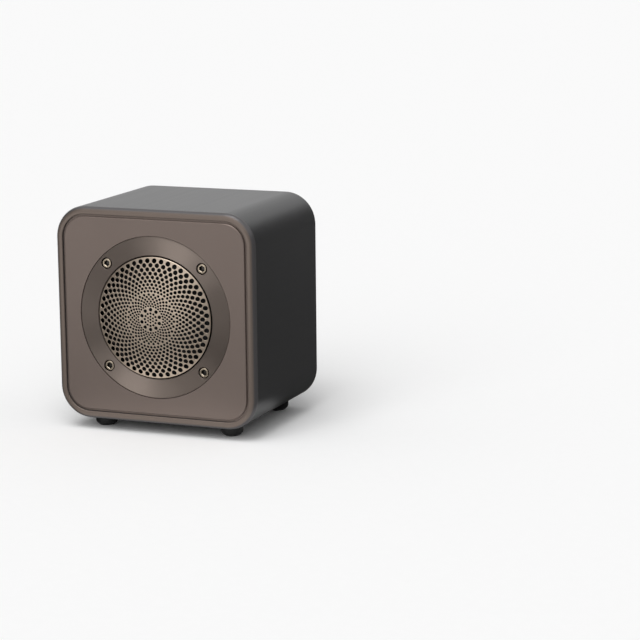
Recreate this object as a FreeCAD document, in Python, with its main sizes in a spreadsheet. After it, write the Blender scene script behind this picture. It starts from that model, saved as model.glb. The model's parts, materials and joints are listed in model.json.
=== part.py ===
import FreeCAD, Part
import Sketcher
import math
import os
import re

# A cube-like portable wireless speaker, in millimetres. The floor is z = 0, the front looks along -Y and +X
# is to the right of someone who faces the front. Depths are counted from the bezel's front plane to the rear.

Vector = FreeCAD.Vector
Rotation = FreeCAD.Rotation

SIZES = {
    # Cabinet sleeve
    "body_width": 120.0,
    "body_height": 120.0,
    "body_depth": 89.7,
    "corner_radius": 18.0,
    "wall": 3.5,
    "rear_edge_round": 0.8,
    "boss_size": 13.5,
    "boss_inset": 12.0,
    # Rubber feet
    "foot_height": 6.4,
    "foot_radius": 6.2,
    "foot_tip_radius": 4.2,
    "foot_taper": 2.1,
    "foot_stem_radius": 2.4,
    "foot_head_radius": 3.3,
    "foot_head_height": 2.0,
    "foot_gap": 0.1,
    "foot_spread": 77.6,
    "foot_front": 15.2,
    "foot_rear": 80.2,
    # Bezel with its baffle
    "bezel_depth": 3.4,
    "bezel_round": 3.0,
    "bezel_face": 4.3,
    "bezel_lip_round": 0.5,
    "opening_radius": 13.7,
    "plug_depth": 4.0,
    "plug_gap": 0.2,
    "seam_gap": 0.15,
    "seat_radius": 49.0,
    "seat_floor": 4.0,
    "sound_radius": 33.6,
    # Inlaid front panel
    "panel_gap": 1.3,
    "panel_inset": 0.2,
    "panel_thickness": 2.0,
    "panel_chamfer": 0.3,
    # Turned ring
    "ring_radius": 45.4,
    "ring_bore": 34.6,
    "ring_inset": 0.6,
    "ring_thickness": 5.0,
    "ring_gap": 0.15,
    "ring_chamfer": 0.3,
    # Socket cap screws that hold ring, grille and driver
    "cap_circle": 40.8,
    "cap_head_radius": 2.75,
    "cap_head_height": 3.0,
    "cap_head_inset": 0.2,
    "cap_socket": 2.5,
    "cap_socket_depth": 1.6,
    "cap_radius": 1.5,
    "cap_length": 8.0,
    "cap_counterbore": 3.25,
    "cap_clearance": 0.2,
    "thread_gap": 0.05,
    # Low-head screws at the corners of the baffle and of the rear panel
    "low_head_radius": 2.75,
    "low_head_height": 1.6,
    "low_head_gap": 0.25,
    "low_head_inset": 0.2,
    "low_socket": 2.0,
    "low_socket_depth": 0.9,
    "low_radius": 1.5,
    "low_length": 8.0,
    "low_clearance": 0.2,
    # Domed grille
    "grille_gap": 0.6,
    "grille_sheet": 0.6,
    "grille_proud": 5.1,
    "grille_rise": 5.1,
    "grille_rim_round": 0.6,
    "grille_flange": 3.8,
    "grille_turn": 1.5,
    "outer_rings": 6,
    "outer_holes": 48,
    "outer_first_radius": 21.1,
    "outer_step": 2.0,
    "outer_step_growth": 0.1,
    "outer_hole_share": 0.038,
    "inner_holes": 10,
    "inner_radius": 5.55,
    "inner_hole_radius": 0.95,
    # Loudspeaker driver
    "gasket_thickness": 0.8,
    "gasket_bore": 35.4,
    "flange_radius": 44.0,
    "basket_sheet": 1.2,
    "ledge_radius": 31.2,
    "ledge_step_radius": 34.8,
    "basket_neck_depth": 15.4,
    "spider_seat_radius": 22.5,
    "spider_seat_bore": 19.5,
    "basket_back_depth": 6.8,
    "basket_bore": 12.5,
    "window_inner": 24.8,
    "window_outer": 29.8,
    "window_angle": 38.0,
    "window_count": 6,
    "surround_sheet": 0.5,
    "surround_flange": 0.8,
    "roll_middle": 28.6,
    "roll_half_width": 2.8,
    "roll_rise": 2.4,
    "cone_lip": 1.2,
    "cone_sheet": 0.7,
    "cone_depth": 10.0,
    "coil_radius": 9.7,
    "former_sheet": 0.4,
    "former_length": 19.5,
    "winding_sheet": 0.6,
    "winding_length": 7.0,
    "glue_gap": 0.1,
    "cap_dome_radius": 12.0,
    "cap_dome_rise": 4.0,
    "cap_dome_sheet": 0.5,
    "spider_sheet": 0.4,
    "spider_wave": 0.8,
    "pole_gap": 0.5,
    "plate_gap": 0.5,
    "top_plate_radius": 22.5,
    "top_plate_thickness": 4.0,
    "magnet_radius": 24.0,
    "magnet_bore": 13.5,
    "magnet_thickness": 9.0,
    "yoke_thickness": 4.0,
    "strip_width": 14.0,
    "strip_height": 8.0,
    "strip_thickness": 1.2,
    "tag_width": 2.8,
    "tag_sheet": 0.5,
    "tag_length": 5.0,
    "tag_spacing": 7.0,
    # Rear panel and its controls
    "rear_inset": 1.2,
    "rear_thickness": 3.0,
    "rear_gap": 0.25,
    "button_radius": 4.2,
    "button_gap": 0.35,
    "button_proud": 1.0,
    "button_flange": 1.2,
    "button_flange_thickness": 1.0,
    "button_play": 0.1,
    "button_round": 0.5,
    "button_spacing": 16.0,
    "button_height": -10.0,
    "stem_radius": 1.8,
    "switch_size": 6.0,
    "switch_height": 3.5,
    "switch_bore_depth": 2.8,
    "plunger_radius": 1.6,
    "plunger_gap": 0.35,
    "plunger_length": 2.9,
    "light_radius": 1.2,
    "light_flange": 0.7,
    "light_flange_thickness": 0.8,
    "light_gap": 0.1,
    "light_rise": 9.0,
    "light_led_gap": 0.3,
    "led_size": 2.0,
    "led_height": 0.8,
    "socket_width": 8.94,
    "socket_height": 3.26,
    "socket_round": 1.62,
    "socket_wall": 0.3,
    "socket_gap": 0.3,
    "socket_inset": 0.3,
    "socket_place": -28.0,
    "tongue_width": 6.7,
    "tongue_height": 0.7,
    "tongue_length": 4.5,
    "tongue_round": 0.17,
    "tongue_inset": 1.0,
    # Circuit board
    "board_width": 72.0,
    "board_height": 44.0,
    "board_thickness": 1.6,
    "board_round": 1.3,
    "board_place": -18.0,
    "post_length": 6.0,
    "post_radius": 2.6,
    "post_spread_x": 62.0,
    "post_spread_z": 34.0,
    "post_pin_radius": 1.2,
    "post_pin_gap": 0.1,
    "module_width": 12.0,
    "module_height": 15.0,
    "module_thickness": 2.4,
    "module_across": 18.0,
    "module_up": 8.8,
    "chip_size": 7.0,
    "chip_thickness": 1.2,
    "capacitor_radius": 3.15,
    "capacitor_length": 9.0,
    "capacitor_pitch": 7.6,
    "capacitor_down": 11.0,
    "coil_size": 6.0,
    "coil_height": 4.0,
    "coil_pitch": 9.0,
    "plug_width": 7.4,
    "plug_height": 5.0,
    "plug_length": 6.0,
    "speaker_plug_across": 14.4,
    "speaker_plug_up": 14.7,
    "battery_plug_across": 18.0,
    "battery_plug_down": 11.0,
    "lead_pitch": 2.5,
    "lead_radius": 0.7,
    "lead_straight": 4.9,
    "lead_bend": 10.5,
    "lead_swing": 12.25,
    "lead_fan": 1.75,
    "lead_yoke_gap": 2.8,
    # Battery
    "cell_radius": 9.25,
    "cell_length": 65.2,
    "cell_gap": 0.2,
    "cell_middle": 41.0,
    "holder_wall": 1.6,
    "holder_height": 14.0,
    "contact_sheet": 0.5,
    "contact_reach": 2.5,
    "contact_width": 9.0,
    "contact_base_radius": 3.6,
    "contact_tip_radius": 2.0,
    "pad_thickness": 0.8,
    # Damping foam
    "foam_width": 78.0,
    "foam_length": 54.0,
    "foam_thickness": 10.0,
    "foam_round": 4.0,
    "foam_start": 18.0,
}

doc = FreeCAD.newDocument("portable_speaker")
sheet = doc.addObject("Spreadsheet::Sheet", "sizes")
for row, (alias, number) in enumerate(SIZES.items(), 1):
    sheet.set("A%d" % row, alias)
    sheet.set("B%d" % row, str(number))
    sheet.setAlias("B%d" % row, alias)
doc.recompute()

parts = []


# Places that follow from the sizes

FRONT = "grille_proud / 2 - body_depth / 2"
MIDDLE = "foot_height + body_height / 2"
HALF_WIDTH = "body_width / 2"
HALF_HEIGHT = "body_height / 2"
INNER_HALF_WIDTH = "(body_width / 2 - wall)"
INNER_HALF_HEIGHT = "(body_height / 2 - wall)"
INNER_CORNER = "(corner_radius - wall)"
FLOOR = "(wall - body_height / 2)"
SLEEVE_FRONT = "(bezel_depth + seam_gap)"
BOSS_FRONT = "(bezel_depth + plug_depth)"
REAR_FACE = "(body_depth - rear_inset)"
REAR_SEAT = "(body_depth - rear_inset - rear_thickness)"
PANEL_SEAT = "(panel_inset + panel_thickness)"
RING_SEAT = "(ring_inset + ring_thickness)"
BAFFLE_BACK = "(ring_inset + ring_thickness + seat_floor)"
OPENING_HALF_WIDTH = "(body_width / 2 - bezel_face)"
OPENING_HALF_HEIGHT = "(body_height / 2 - bezel_face)"
CAP_OFFSET = "(cap_circle * cos(45))"
SCREW_X = "(body_width / 2 - boss_inset)"
SCREW_Z = "(body_height / 2 - boss_inset)"
FLANGE_FRONT = "(ring_inset + ring_thickness + seat_floor + gasket_thickness)"
LEDGE = "(" + FLANGE_FRONT + " + basket_sheet)"
SPIDER_SEAT = "(" + LEDGE + " + basket_neck_depth)"
MOTOR_FRONT = "(" + SPIDER_SEAT + " + basket_back_depth + basket_sheet)"
MAGNET_FRONT = "(" + MOTOR_FRONT + " + top_plate_thickness)"
YOKE_FRONT = "(" + MAGNET_FRONT + " + magnet_thickness)"
FORMER_RADIUS = "(coil_radius + former_sheet)"
NECK_RADIUS = "(coil_radius + former_sheet + glue_gap)"
BOARD_REAR = "(" + REAR_SEAT + " - post_length)"
BOARD_FRONT = "(" + BOARD_REAR + " - board_thickness)"
CELL_HEIGHT = "(" + FLOOR + " + pad_thickness + holder_wall + cell_radius + cell_gap)"
CELL_STEP = "(cell_radius + cell_gap + holder_wall / 2)"
HOLDER_HALF_LENGTH = "(cell_length / 2 + contact_reach + contact_sheet + holder_wall)"
HOLDER_HALF_WIDTH = "(2 * cell_radius + 2 * cell_gap + 1.5 * holder_wall)"


# Helpers for bound sizes

NEAR = 0.0001
WORD = re.compile(r"[a-z][a-z_]+")


def drive(expression):
    """Name the sheet before each of its sizes, as a bound expression needs."""
    def named(word):
        return "sizes." + word.group() if word.group() in SIZES else word.group()
    return WORD.sub(named, expression)


def num(expression):
    """The value of an expression as a plain number."""
    return float(sheet.evalExpression(drive(expression)))


def bind(item, name, expression):
    item.setExpression(name, drive(expression))


def place(item, x="0", y="0", z="0"):
    """Bind an object's place. It is counted from the middle of the bezel's front plane."""
    bind(item, "Placement.Base.x", x)
    bind(item, "Placement.Base.y", FRONT + " + " + y)
    bind(item, "Placement.Base.z", MIDDLE + " + " + z)


def keep(item, label):
    """List an object as a finished sub-part under its own label."""
    item.Label = label
    parts.append(item)
    return item


# Helpers for bodies built from sketches

def new_body(label, x="0", y="0", z="0"):
    body = doc.addObject("PartDesign::Body", label)
    place(body, x, y, z)
    return keep(body, label)


def sketch_on(body, role, offset="0"):
    """A sketch on one of the body's own origin planes, moved along that plane's normal."""
    sketch = body.newObject("Sketcher::SketchObject", body.Name + "_sketch")
    plane = next(item for item in body.Origin.OriginFeatures if item.Role == role)
    sketch.AttachmentSupport = [(plane, "")]
    sketch.MapMode = "FlatFace"
    bind(sketch, "AttachmentOffset.Base.z", offset)
    return sketch


def front_sketch(body, depth="0"):
    """A sketch seen from the front, at a depth behind the body's own origin."""
    return sketch_on(body, "XZ_Plane", "-(" + depth + ")")


def constrain(sketch, *details, to):
    index = sketch.addConstraint(Sketcher.Constraint(*details, num(to)))
    bind(sketch, "Constraints[%d]" % index, to)


def pin_point(sketch, curve, end, across, up):
    """Tie one end of a curve to its place, counted from the sketch's origin."""
    constrain(sketch, "DistanceX", -1, 1, curve, end, to=across)
    constrain(sketch, "DistanceY", -1, 1, curve, end, to=up)


def arc_between(start, end, radius):
    """The shorter arc from start to end. A positive radius bends to the left, a negative one to the right."""
    chord = end - start
    left = Vector(-chord.y, chord.x, 0).normalize()
    rise = math.sqrt(max(radius ** 2 - chord.Length ** 2 / 4, 0))
    centre = (start + end) * 0.5 + left * (rise if radius > 0 else -rise)
    first, last = (start, end) if radius > 0 else (end, start)
    angles = [math.atan2(point.y - centre.y, point.x - centre.x) for point in (first, last)]
    circle = Part.Circle(centre, Vector(0, 0, 1), abs(radius))
    return Part.ArcOfCircle(circle, angles[0], angles[1])


def outline(sketch, points):
    """A closed outline of runs. A point is (across, up), or (across, up, radius) where an arc leads to it."""
    spots = [Vector(num(point[0]), num(point[1]), 0) for point in points]
    runs = []
    for index, point in enumerate(points):
        start = spots[index - 1]
        end = spots[index]
        if len(point) == 3:
            radius = num(point[2])
            curve = sketch.addGeometry(arc_between(start, end, radius), False)
            runs.append((curve, 1, 2) if radius > 0 else (curve, 2, 1))
        else:
            curve = sketch.addGeometry(Part.LineSegment(start, end), False)
            runs.append((curve, 1, 2))
    for index, (curve, _, end) in enumerate(runs):
        following, begin, _ = runs[(index + 1) % len(runs)]
        sketch.addConstraint(Sketcher.Constraint("Coincident", curve, end, following, begin))
        pin_point(sketch, curve, end, points[index][0], points[index][1])
        if len(points[index]) == 3:
            constrain(sketch, "Radius", curve, to=points[index][2].lstrip("-"))


def rounded_rectangle(sketch, half_width, half_height, radius, x="0", z="0"):
    """A rectangle with round corners about a point."""
    left = "%s - (%s)" % (x, half_width)
    right = "%s + (%s)" % (x, half_width)
    low = "%s - (%s)" % (z, half_height)
    high = "%s + (%s)" % (z, half_height)
    inwards = " - (%s)" % radius
    onwards = " + (%s)" % radius
    outline(sketch, [
        (right + inwards, low),
        (right, low + onwards, radius),
        (right, high + inwards),
        (right + inwards, high, radius),
        (left + onwards, high),
        (left, high + inwards, radius),
        (left, low + onwards),
        (left + onwards, low, radius),
    ])


def circle(sketch, radius, x="0", z="0"):
    centre = Vector(num(x), num(z), 0)
    curve = sketch.addGeometry(Part.Circle(centre, Vector(0, 0, 1), num(radius)), False)
    pin_point(sketch, curve, 3, x, z)
    constrain(sketch, "Radius", curve, to=radius)


def hexagon(sketch, radius, x, z):
    """A six-sided hole about a point, with two corners on the point's own radius from the origin."""
    corners = []
    for turn in range(0, 360, 60):
        corners.append(("%s + %s * cos(%d)" % (x, radius, turn), "%s + %s * sin(%d)" % (z, radius, turn)))
    outline(sketch, corners)


def pad(body, sketch, length, rearward=True):
    """Raise a sketch along its normal, or against it: the normal of a front sketch looks out of the front."""
    feature = body.newObject("PartDesign::Pad", body.Name + "_pad")
    feature.Profile = sketch
    feature.Reversed = rearward
    bind(feature, "Length", length)
    doc.recompute()
    return feature


def cut(body, sketch, length=None, frontward=False):
    """Cut a sketch into its body, to a depth or right through, and see that it removes something."""
    before = body.Shape.Volume
    feature = body.newObject("PartDesign::Pocket", body.Name + "_pocket")
    feature.Profile = sketch
    feature.Reversed = frontward
    if length is None:
        feature.Type = "ThroughAll"
    else:
        bind(feature, "Length", length)
    doc.recompute()
    if not body.Shape.Volume < before:
        raise RuntimeError(body.Label + ": a pocket cuts nothing")
    return feature


def revolve(body, sketch):
    """Turn a sketch about its own vertical axis."""
    feature = body.newObject("PartDesign::Revolution", body.Name + "_revolution")
    feature.Profile = sketch
    feature.ReferenceAxis = (sketch, ["V_Axis"])
    feature.Angle = 360
    doc.recompute()
    return feature


def repeat_round(body, feature, count):
    """Repeat a feature round the body's front-to-rear axis."""
    pattern = body.newObject("PartDesign::PolarPattern", body.Name + "_pattern")
    pattern.Originals = [feature]
    pattern.Refine = False
    axis = next(item for item in body.Origin.OriginFeatures if item.Role == "Y_Axis")
    pattern.Axis = (axis, [""])
    pattern.Angle = 360
    bind(pattern, "Occurrences", count)
    body.Tip = pattern
    doc.recompute()
    return pattern


def dress(body, kind, size_name, size, chosen):
    """Fillet or chamfer the edges of the body's last feature that a test picks."""
    base = body.Tip
    names = ["Edge%d" % (i + 1) for i, edge in enumerate(base.Shape.Edges) if chosen(edge)]
    if not names:
        raise RuntimeError(body.Label + ": no edge to round")
    feature = body.newObject(kind, body.Name + "_edge")
    feature.Base = (base, names)
    bind(feature, size_name, size)
    body.Tip = feature
    doc.recompute()
    return feature


def fillet(body, radius, chosen):
    return dress(body, "PartDesign::Fillet", "Radius", radius, chosen)


def chamfer(body, size, chosen):
    return dress(body, "PartDesign::Chamfer", "Size", size, chosen)


def at_depth(depth, inside=math.inf):
    """A test for edges that lie in one plane across the depth, by how far they stand from the axis."""
    level = num(depth)

    def chosen(edge):
        box = edge.BoundBox
        far = max(abs(box.XMin), abs(box.XMax), abs(box.ZMin), abs(box.ZMax))
        flat = abs(box.YMin - level) < NEAR and abs(box.YMax - level) < NEAR
        return flat and far < inside
    return chosen


def turned(label, points):
    """A body turned about the driver's axis from an outline of (radius, depth) points."""
    body = new_body(label)
    sketch = sketch_on(body, "XY_Plane")
    outline(sketch, points)
    revolve(body, sketch)
    return body


# Helpers for pieces made of primitives

TO_REAR = Rotation(Vector(1, 0, 0), -90)
TO_FRONT = Rotation(Vector(1, 0, 0), 90)
TO_RIGHT = Rotation(Vector(0, 1, 0), 90)
TO_LEFT = Rotation(Vector(0, 1, 0), -90)
UPRIGHT = Rotation()


def primitive(kind, name, where, turn=UPRIGHT, **dimensions):
    item = doc.addObject("Part::" + kind, name)
    item.Placement = FreeCAD.Placement(Vector(), turn)
    place(item, *where)
    for key, expression in dimensions.items():
        bind(item, key, expression)
    return item


def block(name, x, y, z, width, depth, height):
    """A block centred on x and z that starts at depth y."""
    corner = ("%s - (%s) / 2" % (x, width), y, "%s - (%s) / 2" % (z, height))
    return primitive("Box", name, corner, Length=width, Width=depth, Height=height)


def rod(name, where, turn, radius, length):
    return primitive("Cylinder", name, where, turn, Radius=radius, Height=length)


def less(name, base, *tools):
    """A base with one or more tools cut out of it."""
    for tool in tools:
        step = doc.addObject("Part::Cut", name + "_cut")
        step.Base = base
        step.Tool = tool
        base = step
    return base


def joined(name, items):
    union = doc.addObject("Part::MultiFuse", name)
    union.Shapes = items
    return union


def group(label, items):
    """Identical or like pieces that share one sub-part, each a solid of its own."""
    compound = doc.addObject("Part::Compound", label)
    compound.Links = items
    return keep(compound, label)


def socket_screw(name, x, y, z, turn, kind):
    """A screw with a hexagon socket, from its head's top at depth y. Its kind starts its sizes' names."""
    way = "1" if turn is TO_REAR else "-1"
    neck = "%s + %s * %s_head_height" % (y, way, kind)
    head = rod(name + "_head", (x, y, z), turn, kind + "_head_radius", kind + "_head_height")
    shank = rod(name + "_shank", (x, neck, z), turn, kind + "_radius", kind + "_length")
    socket = primitive("Prism", name + "_socket", (x, y, z), turn,
                       Circumradius=kind + "_socket / 2 / cos(30)", Height=kind + "_socket_depth")
    socket.Polygon = 6
    return less(name, joined(name + "_blank", [head, shank]), socket)


SIGNS = [("-", "-"), ("+", "-"), ("-", "+"), ("+", "+")]


def four(offset_x, offset_z):
    """Four places about the middle, one in each quarter."""
    return [("0 %s %s" % (sx, offset_x), "0 %s %s" % (sz, offset_z)) for sx, sz in SIGNS]


# Cabinet and front

def make_cabinet():
    """An extruded sleeve with a screw boss along each inner corner and a rebate at each end."""
    body = new_body("cabinet")
    outer = front_sketch(body, SLEEVE_FRONT)
    rounded_rectangle(outer, HALF_WIDTH, HALF_HEIGHT, "corner_radius")
    pad(body, outer, "body_depth - " + SLEEVE_FRONT)
    fillet(body, "rear_edge_round", at_depth("body_depth"))

    channel = front_sketch(body, SLEEVE_FRONT)
    boss_x = "(" + INNER_HALF_WIDTH + " - boss_size)"
    boss_z = "(" + INNER_HALF_HEIGHT + " - boss_size)"
    outline(channel, [
        (boss_x, "0 - " + INNER_HALF_HEIGHT),
        (boss_x, "0 - " + boss_z),
        (INNER_HALF_WIDTH, "0 - " + boss_z),
        (INNER_HALF_WIDTH, boss_z),
        (boss_x, boss_z),
        (boss_x, INNER_HALF_HEIGHT),
        ("0 - " + boss_x, INNER_HALF_HEIGHT),
        ("0 - " + boss_x, boss_z),
        ("0 - " + INNER_HALF_WIDTH, boss_z),
        ("0 - " + INNER_HALF_WIDTH, "0 - " + boss_z),
        ("0 - " + boss_x, "0 - " + boss_z),
        ("0 - " + boss_x, "0 - " + INNER_HALF_HEIGHT),
    ])
    cut(body, channel)

    front_rebate = front_sketch(body, SLEEVE_FRONT)
    rounded_rectangle(front_rebate, INNER_HALF_WIDTH, INNER_HALF_HEIGHT, INNER_CORNER)
    cut(body, front_rebate, BOSS_FRONT + " - " + SLEEVE_FRONT)
    rear_rebate = front_sketch(body, REAR_SEAT)
    rounded_rectangle(rear_rebate, INNER_HALF_WIDTH, INNER_HALF_HEIGHT, INNER_CORNER)
    cut(body, rear_rebate, "rear_inset + rear_thickness")

    pilots = front_sketch(body, SLEEVE_FRONT)
    for x, z in four(SCREW_X, SCREW_Z):
        circle(pilots, "low_radius + thread_gap", x, z)
    cut(body, pilots)

    foot_holes = sketch_on(body, "XY_Plane", "0 - " + HALF_HEIGHT)
    for side in ("-", "+"):
        for depth in ("foot_front", "foot_rear"):
            circle(foot_holes, "foot_stem_radius + foot_gap", "0 %s foot_spread / 2" % side, depth)
    cut(body, foot_holes, "wall", frontward=True)


def make_front_bezel():
    """The moulded front: a rounded bezel, a plug that enters the sleeve, and seats for what it carries."""
    body = new_body("front_bezel")
    rim = front_sketch(body)
    rounded_rectangle(rim, HALF_WIDTH, HALF_HEIGHT, "corner_radius")
    pad(body, rim, "bezel_depth")
    fillet(body, "bezel_round", at_depth("0"))
    plug = front_sketch(body, "bezel_depth")
    rounded_rectangle(plug, INNER_HALF_WIDTH + " - plug_gap", INNER_HALF_HEIGHT + " - plug_gap",
                      INNER_CORNER + " - plug_gap")
    pad(body, plug, "plug_depth")
    seat = front_sketch(body, BOSS_FRONT)
    circle(seat, "seat_radius")
    pad(body, seat, BAFFLE_BACK + " - " + BOSS_FRONT)

    recess = front_sketch(body)
    rounded_rectangle(recess, OPENING_HALF_WIDTH, OPENING_HALF_HEIGHT, "opening_radius")
    cut(body, recess, PANEL_SEAT)
    fillet(body, "bezel_lip_round", at_depth("0", num(OPENING_HALF_WIDTH) + NEAR))
    ring_seat = front_sketch(body)
    circle(ring_seat, "ring_radius + ring_gap")
    cut(body, ring_seat, RING_SEAT)
    mouth = front_sketch(body)
    circle(mouth, "sound_radius")
    cut(body, mouth)

    cap_holes = front_sketch(body)
    for x, z in four(CAP_OFFSET, CAP_OFFSET):
        circle(cap_holes, "cap_radius + cap_clearance", x, z)
    cut(body, cap_holes)
    corner_holes = front_sketch(body)
    for x, z in four(SCREW_X, SCREW_Z):
        circle(corner_holes, "low_radius + low_clearance", x, z)
    cut(body, corner_holes)
    corner_bores = front_sketch(body)
    for x, z in four(SCREW_X, SCREW_Z):
        circle(corner_bores, "low_head_radius + low_head_gap", x, z)
    cut(body, corner_bores, PANEL_SEAT + " + low_head_inset + low_head_height")


def make_front_panel():
    """A flat plate inlaid in the bezel, with a round hole for the ring."""
    body = new_body("front_panel")
    plate = front_sketch(body, "panel_inset")
    rounded_rectangle(plate, OPENING_HALF_WIDTH + " - panel_gap", OPENING_HALF_HEIGHT + " - panel_gap",
                      "(opening_radius - panel_gap)")
    pad(body, plate, "panel_thickness")
    hole = front_sketch(body, "panel_inset")
    circle(hole, "ring_radius + ring_gap")
    cut(body, hole)
    chamfer(body, "panel_chamfer", at_depth("panel_inset"))


def make_trim_ring():
    """A lathe-turned ring that clamps the grille, with counterbored screw holes."""
    body = turned("trim_ring", [
        ("ring_bore", "ring_inset + ring_chamfer"),
        ("ring_bore + ring_chamfer", "ring_inset"),
        ("ring_radius - ring_chamfer", "ring_inset"),
        ("ring_radius", "ring_inset + ring_chamfer"),
        ("ring_radius", RING_SEAT),
        ("ring_bore - grille_gap + grille_flange + ring_gap", RING_SEAT),
        ("ring_bore - grille_gap + grille_flange + ring_gap", RING_SEAT + " - grille_sheet"),
        ("ring_bore", RING_SEAT + " - grille_sheet"),
    ])
    holes = front_sketch(body)
    for x, z in four(CAP_OFFSET, CAP_OFFSET):
        circle(holes, "cap_radius + cap_clearance", x, z)
    cut(body, holes)
    counterbores = front_sketch(body)
    for x, z in four(CAP_OFFSET, CAP_OFFSET):
        circle(counterbores, "cap_counterbore", x, z)
    cut(body, counterbores, "ring_inset + cap_head_inset + cap_head_height")


def make_grille():
    """A domed sheet with a skirt and a clamped flange, pierced in rings that widen outwards."""
    skirt = "(ring_bore - grille_gap)"
    bore = "(" + skirt + " - grille_sheet)"
    shoulder = "(" + skirt + " - grille_rim_round)"
    apex = "(0 - grille_proud)"
    rim = "(grille_rise - grille_proud)"
    inner_rim = "(" + rim + " + grille_sheet)"
    dome = "((" + shoulder + " ^ 2 + grille_rise ^ 2) / 2 / grille_rise)"
    inner_dome = "(" + dome + " - grille_sheet)"
    under = "(" + RING_SEAT + " - grille_sheet)"
    inner_shoulder = "(" + bore + " - grille_rim_round)"
    inner_drop = ("(" + apex + " + grille_sheet + " + inner_dome + " - sqrt(" + inner_dome + " ^ 2 - "
                  + inner_shoulder + " ^ 2))")
    body = turned("grille", [
        ("0", apex + " + grille_sheet", "-" + inner_dome),
        ("0", apex),
        (shoulder, rim, dome),
        (skirt, rim + " + grille_rim_round", "grille_rim_round"),
        (skirt, under),
        (skirt + " + grille_flange", under),
        (skirt + " + grille_flange", RING_SEAT),
        (bore, RING_SEAT),
        (bore, inner_drop + " + grille_rim_round"),
        (inner_shoulder, inner_drop, "-grille_rim_round"),
    ])

    spoke = front_sketch(body, apex)
    radius = "outer_first_radius"
    for ring in range(int(num("outer_rings"))):
        turn = "(grille_turn + 180 / outer_holes * %d)" % ((ring + 1) % 2)
        hexagon(spoke, "(outer_hole_share * (" + radius + "))",
                "(%s) * sin%s" % (radius, turn), "(%s) * cos%s" % (radius, turn))
        radius += " + outer_step + %d * outer_step_growth" % ring
    pierced = cut(body, spoke)
    repeat_round(body, pierced, "outer_holes")
    inner = front_sketch(body, apex)
    hexagon(inner, "inner_hole_radius", "inner_radius * sin(grille_turn)", "inner_radius * cos(grille_turn)")
    pierced = cut(body, inner)
    repeat_round(body, pierced, "inner_holes")


# Loudspeaker driver

def make_driver_frame():
    """The foam gasket and the pressed basket with its windows."""
    turned("driver_gasket", [
        ("gasket_bore", BAFFLE_BACK),
        ("flange_radius", BAFFLE_BACK),
        ("flange_radius", FLANGE_FRONT),
        ("gasket_bore", FLANGE_FRONT),
    ])
    gasket = parts[-1]
    holes = front_sketch(gasket)
    for x, z in four(CAP_OFFSET, CAP_OFFSET):
        circle(holes, "cap_radius + cap_clearance", x, z)
    cut(gasket, holes)

    step = "(ledge_step_radius + basket_sheet)"
    body = turned("driver_basket", [
        ("flange_radius", FLANGE_FRONT),
        ("flange_radius", LEDGE),
        (step, LEDGE),
        (step, LEDGE + " + basket_sheet"),
        ("ledge_radius + basket_sheet", LEDGE + " + basket_sheet"),
        ("spider_seat_radius + basket_sheet", SPIDER_SEAT + " + basket_sheet"),
        ("spider_seat_bore + basket_sheet", SPIDER_SEAT + " + basket_sheet"),
        ("spider_seat_bore + basket_sheet", MOTOR_FRONT),
        ("basket_bore", MOTOR_FRONT),
        ("basket_bore", MOTOR_FRONT + " - basket_sheet"),
        ("spider_seat_bore", MOTOR_FRONT + " - basket_sheet"),
        ("spider_seat_bore", SPIDER_SEAT),
        ("spider_seat_radius", SPIDER_SEAT),
        ("ledge_radius", LEDGE),
        ("ledge_step_radius", LEDGE),
        ("ledge_step_radius", FLANGE_FRONT),
    ])
    window = front_sketch(body)
    half = "(window_angle / 2)"
    outline(window, [
        ("window_inner * cos(90 + %s)" % half, "window_inner * sin(90 + %s)" % half),
        ("window_inner * cos(90 - %s)" % half, "window_inner * sin(90 - %s)" % half, "-window_inner"),
        ("window_outer * cos(90 - %s)" % half, "window_outer * sin(90 - %s)" % half),
        ("window_outer * cos(90 + %s)" % half, "window_outer * sin(90 + %s)" % half, "window_outer"),
    ])
    opened = cut(body, window)
    repeat_round(body, opened, "window_count")
    taps = front_sketch(body)
    for x, z in four(CAP_OFFSET, CAP_OFFSET):
        circle(taps, "cap_radius + thread_gap", x, z)
    cut(body, taps)


def make_driver_motor():
    """Top plate, ring magnet and yoke with its pole."""
    winding_radius = FORMER_RADIUS + " + winding_sheet"
    turned("top_plate", [
        (winding_radius + " + plate_gap", MOTOR_FRONT),
        ("top_plate_radius", MOTOR_FRONT),
        ("top_plate_radius", MAGNET_FRONT),
        (winding_radius + " + plate_gap", MAGNET_FRONT),
    ])
    turned("magnet", [
        ("magnet_bore", MAGNET_FRONT),
        ("magnet_radius", MAGNET_FRONT),
        ("magnet_radius", YOKE_FRONT),
        ("magnet_bore", YOKE_FRONT),
    ])
    turned("yoke", [
        ("0", MOTOR_FRONT),
        ("coil_radius - pole_gap", MOTOR_FRONT),
        ("coil_radius - pole_gap", YOKE_FRONT),
        ("top_plate_radius", YOKE_FRONT),
        ("top_plate_radius", YOKE_FRONT + " + yoke_thickness"),
        ("0", YOKE_FRONT + " + yoke_thickness"),
    ])


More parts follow.
